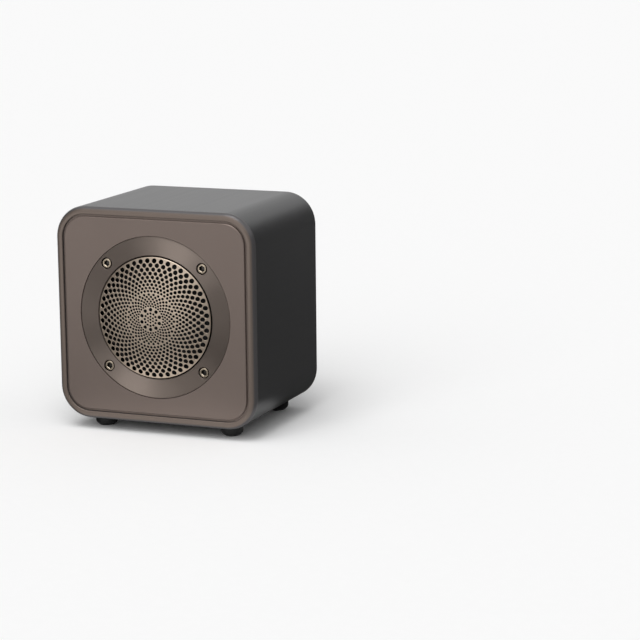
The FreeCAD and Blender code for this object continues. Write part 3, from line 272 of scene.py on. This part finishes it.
def punched_champagne_aluminium():
    """Blasted sheet, anodised champagne: a soft warm sheen, with shade painted dark in the punched holes,
    behind the sheet and round its rim.
    """
    material, tree, shader, place = new_material("punched_champagne_aluminium")
    grit = add(tree, "ShaderNodeTexNoise", {"Vector": place, "Scale": per_mm(SHEET_GRIT), "Detail": 2.0})
    centred = add(tree, "ShaderNodeMapping", {"Vector": place, "Location": (0, DOME_MIDDLE * MM - FRONT_Y,
                                                                            -MIDDLE_Z)})
    from_middle = add(tree, "ShaderNodeVectorMath", {0: centred.outputs[0]}, operation="LENGTH")
    # Shade is painted dark on all that lies deeper than the dome's face: in the holes, behind the sheet and on
    # the rim.
    hole_shade_fade = add(tree, "ShaderNodeMapRange", {"Value": from_middle.outputs["Value"],
                                            "From Min": (DOME_RADIUS - HOLE_SHADE_DEPTHS[1]) * MM,
                                            "From Max": (DOME_RADIUS - HOLE_SHADE_DEPTHS[0]) * MM})
    metal = add(tree, "ShaderNodeMix", {"Factor": grit.outputs["Fac"], "A": linear("#d2c1af"),
                                        "B": linear("#d8c7b5")}, data_type="RGBA")
    tone = add(tree, "ShaderNodeMix", {"Factor": hole_shade_fade.outputs["Result"], "A": linear("#1c1a18"),
                                       "B": metal.outputs["Result"]}, data_type="RGBA")
    gloss = add(tree, "ShaderNodeMapRange", {"Value": grit.outputs["Fac"], "To Min": 0.36, "To Max": 0.44})
    bump = add(tree, "ShaderNodeBump", {"Height": grit.outputs["Fac"], "Strength": 0.08, "Distance": 0.00003})
    finish(tree, shader, tone.outputs["Result"], gloss.outputs["Result"], bump.outputs["Normal"])
    shader.inputs["Metallic"].default_value = 1.0
    return material


def turned_aluminium():
    """Aluminium faced on a lathe: hair-fine rings spread each highlight outwards, so that it fans out in
    wedges."""
    material, tree, shader, place = new_material("turned_aluminium")
    centred = add(tree, "ShaderNodeMapping", {"Vector": place, "Location": (0, 0, -MIDDLE_Z),
                                              "Scale": (1, 0, 1)})
    radius = add(tree, "ShaderNodeVectorMath", {0: centred.outputs[0]}, operation="LENGTH")
    line = add(tree, "ShaderNodeTexNoise", {"W": radius.outputs["Value"], "Scale": per_mm(TURNED_LINE),
                                            "Detail": 3.0}, noise_dimensions="1D")
    outwards = add(tree, "ShaderNodeVectorMath", {0: centred.outputs[0]}, operation="NORMALIZE")
    tone = add(tree, "ShaderNodeMix", {"Factor": line.outputs["Fac"], "A": linear("#958880"),
                                       "B": linear("#9f9289")}, data_type="RGBA")
    gloss = add(tree, "ShaderNodeMapRange", {"Value": line.outputs["Fac"], "To Min": 0.41, "To Max": 0.47})
    finish(tree, shader, tone.outputs["Result"], gloss.outputs["Result"])
    tree.links.new(outwards.outputs["Vector"], shader.inputs["Tangent"])
    shader.inputs["Metallic"].default_value = 1.0
    shader.inputs["Anisotropic"].default_value = 1.0
    return material


def screw_steel():
    """Plated steel screws: bright rubbed heads, with shade painted dark down in the sockets, round the heads'
    sides and on the shanks.
    """
    material, tree, shader, place = new_material("rubbed_screw_steel")
    scuff = add(tree, "ShaderNodeTexNoise", {"Vector": place, "Scale": per_mm(0.5), "Detail": 4.0})
    bright = add(tree, "ShaderNodeMix", {"Factor": scuff.outputs["Fac"], "A": linear("#b3a592"),
                                         "B": linear("#c8b9a5")}, data_type="RGBA")
    # Shade is painted dark on all that lies deeper than the front heads' tops and short of the rear screws'
    # heads.
    front = RING_INSET + CAP_HEAD_INSET
    rear = (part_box("rear_screws")[1].y - FRONT_Y) / MM
    shallow, deep = SOCKET_SHADE_DEPTHS
    painted_socket_shade = add(tree, "ShaderNodeMath", {0: depth_behind(tree, place, front + shallow, front + deep),
                                          1: depth_behind(tree, place, rear - deep, rear - shallow)},
                 operation="SUBTRACT")
    tone = add(tree, "ShaderNodeMix", {"Factor": painted_socket_shade.outputs[0], "A": bright.outputs["Result"],
                                       "B": linear("#4a4744")}, data_type="RGBA")
    gloss = add(tree, "ShaderNodeMapRange", {"Value": scuff.outputs["Fac"], "To Min": 0.2, "To Max": 0.32})
    finish(tree, shader, tone.outputs["Result"], gloss.outputs["Result"])
    shader.inputs["Metallic"].default_value = 1.0
    return material


def grained(name, dark, light, grain, roughness, metallic=0.0, bump_height=0.02):
    """A material with two close tones and a relief, both in grains of so many millimetres."""
    material, tree, shader, place = new_material(name)
    noise = add(tree, "ShaderNodeTexNoise", {"Vector": place, "Scale": per_mm(grain), "Detail": 4.0})
    tone = add(tree, "ShaderNodeMix", {"Factor": noise.outputs["Fac"], "A": linear(dark), "B": linear(light)},
               data_type="RGBA")
    gloss = add(tree, "ShaderNodeMapRange", {"Value": noise.outputs["Fac"], "To Min": roughness - 0.06,
                                             "To Max": roughness + 0.06})
    bump = add(tree, "ShaderNodeBump", {"Height": noise.outputs["Fac"], "Strength": 0.4,
                                        "Distance": bump_height * MM})
    finish(tree, shader, tone.outputs["Result"], gloss.outputs["Result"], bump.outputs["Normal"])
    shader.inputs["Metallic"].default_value = metallic
    return material


finishes = {
    "cabinet_aluminium": satin_charcoal_aluminium(),
    "bezel_paint": two_tone_bezel(),
    "panel_aluminium": bronze_panel_metal(),
    "ring_aluminium": turned_aluminium(),
    "grille_aluminium": punched_champagne_aluminium(),
    "screw_steel": screw_steel(),
    # Rubber and moulded plastic: dull and even, with a fine moulded grain
    "foot_rubber": grained("black_foot_rubber", "#0d0d0d", "#161616", 0.5, 0.6),
    "rear_plastic": grained("textured_rear_abs", "#1b1b1c", "#232324", 0.5, 0.55),
    "inner_plastic": grained("moulded_inner_abs", "#161616", "#1d1d1d", 0.6, 0.5),
    "plug_plastic": grained("nylon_plug", "#d8d3c6", "#e2ddd1", 0.8, 0.45),
    "light_clear": grained("frosted_acrylic", "#dcdcd8", "#e6e6e2", 0.6, 0.3),
    # Pressed, plated or coated metal, and ferrite: a low gloss with slight mottling
    "socket_steel": grained("stamped_stainless", "#a7a7a6", "#b4b4b3", 0.5, 0.3, 1.0, PLATED_RELIEF),
    "basket_steel": grained("black_coated_steel", "#101011", "#171718", 0.4, 0.45),
    "motor_steel": grained("zinc_plated_steel", "#9a9a98", "#a8a8a6", 1.2, 0.35, 1.0, PLATED_RELIEF),
    "magnet_ferrite": grained("ferrite_ceramic", "#232325", "#2b2b2d", 0.3, 0.6),
    # Paper, cloth and foam: no shine, with a visible fibre or cell
    "cone_paper": grained("pressed_cone_paper", "#111111", "#1a1a1a", 0.7, 0.8),
    "spider_cloth": grained("varnished_cotton", "#8a6a35", "#9a7840", 0.5, 0.8),
    "foam_black": grained("open_cell_foam", "#0e0e0f", "#1b1b1c", 0.9, 0.9, 0.0, FOAM_RELIEF),
    # Pieces of the coil, the board and the battery: smooth and fairly glossy, in their usual colours
    "coil_copper": grained("enamelled_copper", "#9a5526", "#ab6330", 0.2, 0.3, 1.0),
    "former_film": grained("polyimide_film", "#8a4d12", "#955617", 2.0, 0.25),
    "tag_brass": grained("tinned_brass", "#b59b56", "#c2a964", 0.5, 0.3, 1.0, PLATED_RELIEF),
    "board_laminate": grained("solder_mask", "#0b3a22", "#0f4529", 1.5, 0.35),
    "can_aluminium": grained("capacitor_can", "#b0b0b0", "#bebebe", 0.6, 0.35, 1.0, PLATED_RELIEF),
    "cell_wrap": grained("heat_shrunk_wrap", "#1d4a7d", "#225489", 3.0, 0.3),
    "lead_insulation": grained("soft_lead_insulation", "#141414", "#1c1c1c", 1.0, 0.4),
}


# Meshes

def loop_of(verts):
    """The edges of a closed loop of vertices, in order."""
    return list(dict.fromkeys(edge for vert in verts for edge in vert.link_edges))


def circle(bm, radius, steps, x=0.0, y=0.0, height=0.0):
    """A closed round loop of edges."""
    place = Matrix.Translation((x, y, height))
    return loop_of(bmesh.ops.create_circle(bm, radius=radius, segments=steps, matrix=place)["verts"])


def rounded_square(bm, half, radius, height=0.0):
    """A closed square loop of edges with round corners."""
    place = Matrix.Translation((0, 0, height))
    verts = bmesh.ops.create_grid(bm, x_segments=1, y_segments=1, size=half, matrix=place)["verts"]
    bmesh.ops.bevel(bm, geom=verts, offset=radius, offset_type="OFFSET", segments=CORNER_STEPS, profile=0.5,
                    affect="VERTICES", material=-1)
    face = bm.faces[:][-1]
    edges = list(face.edges)
    bmesh.ops.delete(bm, geom=[face], context="FACES_ONLY")
    return edges


def carry(bm, edges, scale, drop, x=0.0, y=0.0):
    """Extrude a loop of edges. The new loop is scaled about (x, y) and lies lower. Returns the new loop."""
    made = bmesh.ops.extrude_edge_only(bm, edges=edges)["geom"]
    verts = [item for item in made if isinstance(item, bmesh.types.BMVert)]
    bmesh.ops.scale(bm, vec=(scale, scale, 1), space=Matrix.Translation((-x, -y, 0)), verts=verts)
    bmesh.ops.translate(bm, vec=(0, 0, -drop), verts=verts)
    new = set(verts)
    return [item for item in made if isinstance(item, bmesh.types.BMEdge) and new.issuperset(item.verts)]


def follow(bm, edges, profile, x=0.0, y=0.0):
    """Carry a round loop through a profile of (radius, height) points. The first point is where it is."""
    for (radius, height), (next_radius, next_height) in zip(profile, profile[1:]):
        edges = carry(bm, edges, next_radius / radius, height - next_height, x, y)
    return edges


def rolled_edge(radius, height, round_radius, steps):
    """Profile points round an outer edge, from its flat top at a height to its straight side at a radius."""
    turns = [math.radians(90) * step / steps for step in range(steps + 1)]
    return [(radius - round_radius * (1 - math.sin(turn)), height - round_radius * (1 - math.cos(turn)))
            for turn in turns]


def fill(bm, edges):
    """Fill a flat outline, with the loops inside it left open."""
    return bmesh.ops.triangle_fill(bm, use_beauty=True, use_dissolve=False, edges=edges, normal=(0, 0, 1))


def solid(bm, name, slot, place, body):
    """Make a mesh a piece that rides on a body: smooth faces, sharp edges and the finish of a slot."""
    bmesh.ops.transform(bm, matrix=place, verts=bm.verts)
    bmesh.ops.remove_doubles(bm, verts=bm.verts, dist=MERGE_DISTANCE)
    bmesh.ops.recalc_face_normals(bm, faces=bm.faces)
    mesh = bpy.data.meshes.new(name)
    bm.to_mesh(mesh)
    bm.free()
    mesh.shade_smooth()
    mesh.set_sharp_from_angle(angle=SHARP_ANGLE)
    mesh.materials.append(finishes[slot])
    made = bpy.data.objects.new(name, mesh)
    bpy.context.collection.objects.link(made)
    weights = made.modifiers.new("face_weights", "WEIGHTED_NORMAL")
    weights.keep_sharp = True
    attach(made, body)
    return made


def stand_in(bm, name, node, place=Matrix(), body="housing"):
    """Make a mesh the piece that stands for a node, with the finish of the node's slot."""
    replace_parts(solid(bm, name, slot_of[node], place, body), node)


def smooth_copy(node, body="housing"):
    """A copy of a node with its corners merged and its flat faces whole, so that its rounds shade as one."""
    bm = bmesh.new()
    bm.from_mesh(nodes[node].data)
    bmesh.ops.remove_doubles(bm, verts=bm.verts, dist=MERGE_DISTANCE)
    bmesh.ops.dissolve_limit(bm, angle_limit=FLAT_ANGLE, verts=bm.verts, edges=bm.edges)
    stand_in(bm, node + "_smooth", node, body=body)


def make_front_panel():
    """The inlaid plate: a rounded square round the ring, with a fine chamfer and a rebate that floors the
    groove round it."""
    bm = bmesh.new()
    top = -PANEL_INSET
    outer = rounded_square(bm, PANEL_HALF - PANEL_CHAMFER, PANEL_CORNER - PANEL_CHAMFER, top)
    bore = circle(bm, PANEL_BORE, ROUND_STEPS, 0, 0, top)
    fill(bm, outer + bore)
    edge = carry(bm, outer, PANEL_HALF / (PANEL_HALF - PANEL_CHAMFER), PANEL_CHAMFER)
    step = carry(bm, edge, 1, PANEL_REBATE - PANEL_CHAMFER)
    foot = carry(bm, step, PANEL_FOOT_HALF / PANEL_HALF, 0)
    back = carry(bm, foot, 1, PANEL_THICKNESS - PANEL_REBATE)
    back_bore = carry(bm, bore, 1, PANEL_THICKNESS)
    fill(bm, back + back_bore)
    stand_in(bm, "inlaid_panel", "front_panel", STAND_UP)


def screw_places():
    """The four screws stand on a circle, one in each quarter."""
    return [(CAP_CIRCLE * math.cos(angle), CAP_CIRCLE * math.sin(angle))
            for angle in (math.radians(45 + 90 * quarter) for quarter in range(4))]


def make_trim_ring():
    """The flat turned ring, with chamfered edges and a counterbored hole for each screw."""
    bm = bmesh.new()
    top = -RING_INSET
    back = top - RING_THICKNESS
    floor = top - CAP_COUNTERBORE_DEPTH
    outer = circle(bm, RING_RADIUS - RING_CHAMFER, ROUND_STEPS, 0, 0, top)
    bore = circle(bm, RING_BORE + RING_CHAMFER, ROUND_STEPS, 0, 0, top)
    mouths = [circle(bm, CAP_COUNTERBORE + HOLE_CHAMFER, CAP_STEPS, x, y, top) for x, y in screw_places()]
    fill(bm, outer + bore + [edge for mouth in mouths for edge in mouth])
    outer_back = follow(bm, outer, [(RING_RADIUS - RING_CHAMFER, top), (RING_RADIUS, top - RING_CHAMFER),
                                    (RING_RADIUS, back)])
    bore_back = follow(bm, bore, [(RING_BORE + RING_CHAMFER, top), (RING_BORE, top - RING_CHAMFER),
                                  (RING_BORE, back)])
    holes_back = []
    for (x, y), mouth in zip(screw_places(), mouths):
        profile = [(CAP_COUNTERBORE + HOLE_CHAMFER, top), (CAP_COUNTERBORE, top - HOLE_CHAMFER),
                   (CAP_COUNTERBORE, floor), (CAP_HOLE, floor), (CAP_HOLE, back)]
        holes_back += follow(bm, mouth, profile, x, y)
    fill(bm, outer_back + bore_back + holes_back)
    stand_in(bm, "turned_ring", "trim_ring", STAND_UP)


def make_front_screws():
    """Four socket cap screws: rounded head edge, six-sided socket with a lead-in, plain shank."""
    bm = bmesh.new()
    top = -RING_INSET - CAP_HEAD_INSET
    seat = top - CAP_HEAD_HEIGHT
    tip = seat - CAP_SHANK_LENGTH
    socket = CAP_SOCKET / math.sqrt(3)
    head = rolled_edge(CAP_HEAD_RADIUS, top, CAP_HEAD_ROUND, CAP_HEAD_STEPS)
    shank = [(CAP_HEAD_RADIUS, seat), (CAP_SHANK_RADIUS, seat), (CAP_SHANK_RADIUS, tip)]
    hole = [(socket + CAP_SOCKET_LEAD_IN, top), (socket, top - CAP_SOCKET_LEAD_IN),
            (socket, top - CAP_SOCKET_DEPTH)]
    for x, y in screw_places():
        rim = circle(bm, CAP_HEAD_RADIUS - CAP_HEAD_ROUND, CAP_STEPS, x, y, top)
        mouth = circle(bm, socket + CAP_SOCKET_LEAD_IN, CAP_SOCKET_SIDES, x, y, top)
        fill(bm, rim + mouth)
        fill(bm, follow(bm, rim, head + shank, x, y))
        fill(bm, follow(bm, mouth, hole, x, y))
    stand_in(bm, "socket_cap_screws", "front_screws", STAND_UP)


def grille_holes():
    """(x, y, radius) of each hole: a middle one, small rings round it, then staggered rings that grow."""
    rings = [(radius, count, hole, 0) for radius, count, hole in MIDDLE_RINGS]
    for k in range(INNER_RINGS):
        rings.append((INNER_RADIUS + INNER_PITCH * k, INNER_HOLES, INNER_HOLE + INNER_HOLE_GROWTH * k, k % 2))
    for k in range(OUTER_RINGS):
        out = OUTER_PITCH * k + OUTER_PITCH_GROWTH * k * (k - 1)
        rings.append((OUTER_RADIUS + out, OUTER_HOLES, OUTER_HOLE + OUTER_HOLE_GROWTH * out, k % 2))
    holes = []
    for ring_radius, count, hole_radius, shifted in rings:
        for number in range(count):
            angle = math.radians(90 - GRILLE_TURN) + (number + shifted / 2) * 2 * math.pi / count
            holes.append((ring_radius * math.cos(angle), ring_radius * math.sin(angle), hole_radius))
    return holes


def make_grille():
    """The domed sheet with its 641 punched holes, its rolled rim and the flange that the ring clamps."""
    rim_height = GRILLE_PROUD - GRILLE_RISE
    bore = GRILLE_RADIUS - GRILLE_SHEET

    def dome(radius):
        return DOME_MIDDLE + math.sqrt(DOME_RADIUS ** 2 - radius ** 2)

    bm = bmesh.new()
    middle = bm.verts.layers.float_vector.new("hole_middle")
    holes = []
    for x, y, radius in grille_holes():
        loop = circle(bm, radius + HOLE_CHAMFER, HOLE_STEPS, x, y)
        for edge in loop:
            for vert in edge.verts:
                vert[middle] = (x, y, 0)
        holes += loop
    rim = circle(bm, DOME_SHOULDER, ROUND_STEPS)
    fill(bm, holes + rim)
    throat = carry(bm, holes, 1, HOLE_CHAMFER)
    for vert in {vert for edge in throat for vert in edge.verts}:
        away = (vert.co - vert[middle]).to_2d().to_3d()
        vert.co -= away.normalized() * HOLE_CHAMFER
    back = carry(bm, throat, 1, GRILLE_SHEET - HOLE_CHAMFER)
    back_rim = circle(bm, bore, ROUND_STEPS, 0, 0, -GRILLE_SHEET)
    fill(bm, back + back_rim)
    for vert in bm.verts:
        vert.co.z += dome(vert.co.to_2d().length)

    flange = [(GRILLE_RADIUS, -GRILLE_FLANGE_FRONT), (GRILLE_FLANGE_RADIUS, -GRILLE_FLANGE_FRONT),
              (GRILLE_FLANGE_RADIUS, -GRILLE_FLANGE_FRONT - GRILLE_SHEET),
              (bore, -GRILLE_FLANGE_FRONT - GRILLE_SHEET), (bore, dome(bore) - GRILLE_SHEET)]
    follow(bm, rim, rolled_edge(GRILLE_RADIUS, rim_height, GRILLE_RIM_ROUND, GRILLE_RIM_STEPS) + flange)
    stand_in(bm, "perforated_dome", "grille", STAND_UP)


def make_foot(node):
    """A push-in rubber foot with soft edges, its stem and the head that grips the cabinet's floor."""
    bm = bmesh.new()
    tip = circle(bm, FOOT_TIP_RADIUS, FOOT_STEPS)
    fill(bm, tip)
    shoulder = carry(bm, tip, FOOT_RADIUS / FOOT_TIP_RADIUS, -FOOT_TAPER)
    end = follow(bm, shoulder, [(FOOT_RADIUS, FOOT_TAPER), (FOOT_RADIUS, FOOT_HEIGHT),
                                (FOOT_STEM_RADIUS, FOOT_HEIGHT), (FOOT_STEM_RADIUS, FOOT_HEAD_START),
                                (FOOT_HEAD_RADIUS, FOOT_HEAD_START), (FOOT_STEM_RADIUS, FOOT_HEAD_END)])
    fill(bm, end)
    bmesh.ops.bevel(bm, geom=tip + shoulder, offset=FOOT_ROUND, offset_type="OFFSET",
                    segments=FOOT_ROUND_STEPS, profile=0.5, affect="EDGES", material=-1)
    low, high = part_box(node)
    stand_in(bm, node + "_rounded", node,
             Matrix.Translation(((low.x + high.x) / 2, (low.y + high.y) / 2, low.z)) @ Matrix.Scale(MM, 4))


def bar(bm, length, width, turn=0.0, x=0.0, y=0.0):
    """A flat bar with round ends, as thick as a mark."""
    place = Matrix.Translation((x, y, 0)) @ Matrix.Rotation(math.radians(turn), 4, "Z")
    verts = bmesh.ops.create_grid(bm, x_segments=1, y_segments=1, size=0.5, matrix=Matrix())["verts"]
    bmesh.ops.scale(bm, vec=(length, width, 1), verts=verts)
    made = bmesh.ops.bevel(bm, geom=verts, offset=width * MARK_END_SHARE, offset_type="OFFSET",
                           segments=MARK_END_STEPS, profile=0.5, affect="VERTICES", material=-1)["verts"]
    bmesh.ops.transform(bm, matrix=place, verts=made)
    raise_face(bm, [made[0].link_faces[0]])


def raise_face(bm, faces):
    """Give flat faces the thickness of a mark."""
    made = bmesh.ops.extrude_face_region(bm, geom=faces, use_keep_orig=True)["geom"]
    verts = [item for item in made if isinstance(item, bmesh.types.BMVert)]
    bmesh.ops.translate(bm, vec=(0, 0, MARK_THICKNESS), verts=verts)


def power_mark(bm):
    """The usual mark for power: a ring that is open at its top, and a bar in the opening."""
    verts = [bm.verts.new((0, radius, 0)) for radius in (MARK_RING - MARK_WIDTH, MARK_RING)]
    edge = bm.edges.new(verts)
    turn = Matrix.Rotation(math.radians(MARK_OPENING), 3, "Z")
    bmesh.ops.rotate(bm, verts=verts, cent=(0, 0, 0), matrix=turn)
    bmesh.ops.spin(bm, geom=verts + [edge], cent=(0, 0, 0), axis=(0, 0, 1),
                   angle=math.radians(360 - 2 * MARK_OPENING), steps=MARK_RING_STEPS, use_merge=False)
    raise_face(bm, bm.faces[:])
    bar(bm, MARK_RING, MARK_WIDTH, 90, 0, MARK_RING * MARK_BAR_PLACE)


def minus_mark(bm):
    """A plain minus."""
    bar(bm, MARK_LENGTH, MARK_WIDTH)


def plus_mark(bm):
    """A plain plus: one long bar and two short ones that meet it."""
    bar(bm, MARK_LENGTH, MARK_WIDTH)
    short = (MARK_LENGTH - MARK_WIDTH) / 2
    for side in (-1, 1):
        bar(bm, short, MARK_WIDTH, 90, 0, side * (short + MARK_WIDTH) / 2)


def make_mark(key, draw):
    """A printed mark on the face of a key, which it rides with. Its pale ink has the finish of pale nylon."""
    bm = bmesh.new()
    draw(bm)
    low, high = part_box(key + "_button")
    face = Matrix.Translation(((low.x + high.x) / 2, high.y, (low.z + high.z) / 2))
    solid(bm, key + "_mark", "plug_plastic",
          face @ Matrix.Rotation(math.radians(180), 4, "Z") @ Matrix.Rotation(math.radians(90), 4, "X")
          @ Matrix.Scale(MM, 4), key + "_key")


make_front_panel()
make_trim_ring()
make_front_screws()
make_grille()
for node in ("foot_front_left", "foot_front_right", "foot_rear_left", "foot_rear_right"):
    make_foot(node)
for node in ("cabinet", "front_bezel", "rear_panel", "rear_screws", "charge_socket", "status_light"):
    smooth_copy(node)
for key, draw in (("power", power_mark), ("volume_down", minus_mark), ("volume_up", plus_mark)):
    smooth_copy(key + "_button", key + "_key")
    make_mark(key, draw)

for name, node in nodes.items():
    for slot in node.material_slots:
        slot.material = finishes[slot_of[name]]


# Floor, light and camera

def stage_piece(bm, name, material):
    """Make a mesh a studio piece with one material, on none of the object's bodies."""
    mesh = bpy.data.meshes.new(name)
    bm.to_mesh(mesh)
    bm.free()
    mesh.materials.append(material)
    made = bpy.data.objects.new(name, mesh)
    bpy.context.collection.objects.link(made)
    return made


def floor_paint():
    """Matt white studio paint, with a faint roller texture and no shine."""
    material = grained("matt_white_paint", "#f7f7f7", "#f9f9f9", 6.0, 0.9, 0.0, 0.01)
    material.node_tree.nodes["Principled BSDF"].inputs["Specular IOR Level"].default_value = 0.0
    return material


FLOOR_HALF = 9.0
bm = bmesh.new()
bmesh.ops.create_grid(bm, x_segments=1, y_segments=1, size=FLOOR_HALF)
stage_piece(bm, "floor", floor_paint())

# Grey cards that only reflections see, as a studio's flags are, so that metal has something dark to show.
# They stand and lie round the object at these distances and heights in metres.
FLAG_NEAR = 0.05
FRONT_FLAG_NEAR = 0.095
FLAG_FAR = 1.2
FRONT_FLAG_FAR = 0.32
FLAG_LIFT = 0.002
LOW_FLAG = 0.6
TALL_FLAG = 1.1
FLAG_STEPS = 48
# Where the cards end, in degrees round the object from +X towards +Y. Straight in front is -90.
LEFT_END = -200
FRONT_START = -140
LEFT_WALL_END = -122
FRONT_END = -86
SIDE = 14
RIGHT_END = 78
grey_cloth = grained("grey_flag_cloth", "#5a5a5a", "#626262", 2.0, 0.9)
pale_cloth = grained("pale_flag_cloth", "#838383", "#8b8b8b", 2.0, 0.9)


def flag(name, start, end, profile, cloth=grey_cloth):
    """A curved card between two directions in degrees, from a profile of (distance, height) points."""
    bm = bmesh.new()
    verts = [bm.verts.new((distance, 0, height)) for distance, height in profile]
    edges = [bm.edges.new(pair) for pair in zip(verts, verts[1:])]
    bmesh.ops.rotate(bm, verts=verts, cent=(0, 0, 0), matrix=Matrix.Rotation(math.radians(start), 3, "Z"))
    bmesh.ops.spin(bm, geom=verts + edges, cent=(0, 0, 0), axis=(0, 0, 1), angle=math.radians(end - start),
                   steps=FLAG_STEPS, use_merge=False)
    card = stage_piece(bm, name, cloth)
    card.visible_camera = False
    card.visible_diffuse = False
    card.visible_shadow = False


far_edge = (FLAG_FAR, FLAG_LIFT)
flag("right_front_flag", FRONT_END, SIDE, [(FRONT_FLAG_NEAR, FLAG_LIFT), far_edge, (FLAG_FAR, LOW_FLAG)])
flag("right_flag", SIDE, RIGHT_END, [(FLAG_NEAR, FLAG_LIFT), far_edge, (FLAG_FAR, LOW_FLAG)])
flag("left_flag", LEFT_END, LEFT_WALL_END, [far_edge, (FLAG_FAR, TALL_FLAG)])
flag("left_floor_flag", LEFT_END, FRONT_START, [(FLAG_NEAR, FLAG_LIFT), far_edge])
flag("front_floor_flag", FRONT_START, FRONT_END,
     [(FRONT_FLAG_NEAR, FLAG_LIFT), (FRONT_FLAG_FAR, FLAG_LIFT)], pale_cloth)

# An even white room. It lights the object at this strength, and shows as white to the eye and in reflections.
ROOM_LIGHT = 0.4
world = bpy.data.worlds.new("studio")
world.use_nodes = True
world.cycles.sampling_method = "NONE"
bpy.context.scene.world = world
room = world.node_tree
ray = add(room, "ShaderNodeLightPath", {})
seen = add(room, "ShaderNodeMath", {0: ray.outputs["Is Camera Ray"], 1: ray.outputs["Is Glossy Ray"]},
           operation="MAXIMUM")
shown = add(room, "ShaderNodeMath", {0: seen.outputs[0], 1: ray.outputs["Is Transmission Ray"]},
            operation="MAXIMUM")
level = add(room, "ShaderNodeMapRange", {"Value": shown.outputs[0], "To Min": ROOM_LIGHT, "To Max": 1.0})
room.links.new(level.outputs["Result"], room.nodes["Background"].inputs["Strength"])
room.nodes["Background"].inputs["Color"].default_value = (1, 1, 1, 1)


def far_softbox(name, direction, width, power):
    """A soft light so far off that it is the same all over the floor. Its width is an angle in degrees."""
    lamp = bpy.data.lights.new(name, "SUN")
    lamp.energy = power
    lamp.angle = math.radians(width)
    stand = bpy.data.objects.new(name, lamp)
    stand.rotation_euler = Vector(direction).to_track_quat("Z", "Y").to_euler()
    bpy.context.collection.objects.link(stand)
    return stand


# One light from above, and a low fill from the front that doesn't show in the metal
far_softbox("overhead", direction=(-0.02, -0.3, 0.95), width=40, power=1.12)
fill_light = far_softbox("front_fill", direction=(0.08, -0.8, 0.6), width=60, power=1.45)
fill_light.visible_glossy = False

# The camera's place, its turn to the left, its tilt down and its roll, as found from the photograph's edges
CAMERA_PLACE = (0.54917, -1.16230, 0.31030)
CAMERA_TURN = 21.937
CAMERA_TILT = 11.182
CAMERA_ROLL = -0.572
CAMERA_LENS = 129.73
CAMERA_SENSOR = 36
camera = bpy.data.objects.new("camera", bpy.data.cameras.new("camera"))
camera.data.sensor_width = CAMERA_SENSOR
camera.data.lens = CAMERA_LENS
camera.matrix_world = (
    Matrix.Translation(CAMERA_PLACE)
    @ Matrix.Rotation(math.radians(CAMERA_TURN), 4, "Z")
    @ Matrix.Rotation(math.radians(90 - CAMERA_TILT), 4, "X")
    @ Matrix.Rotation(math.radians(CAMERA_ROLL), 4, "Z")
)
bpy.context.collection.objects.link(camera)
bpy.context.scene.camera = camera
bpy.context.scene.view_settings.view_transform = "Standard"
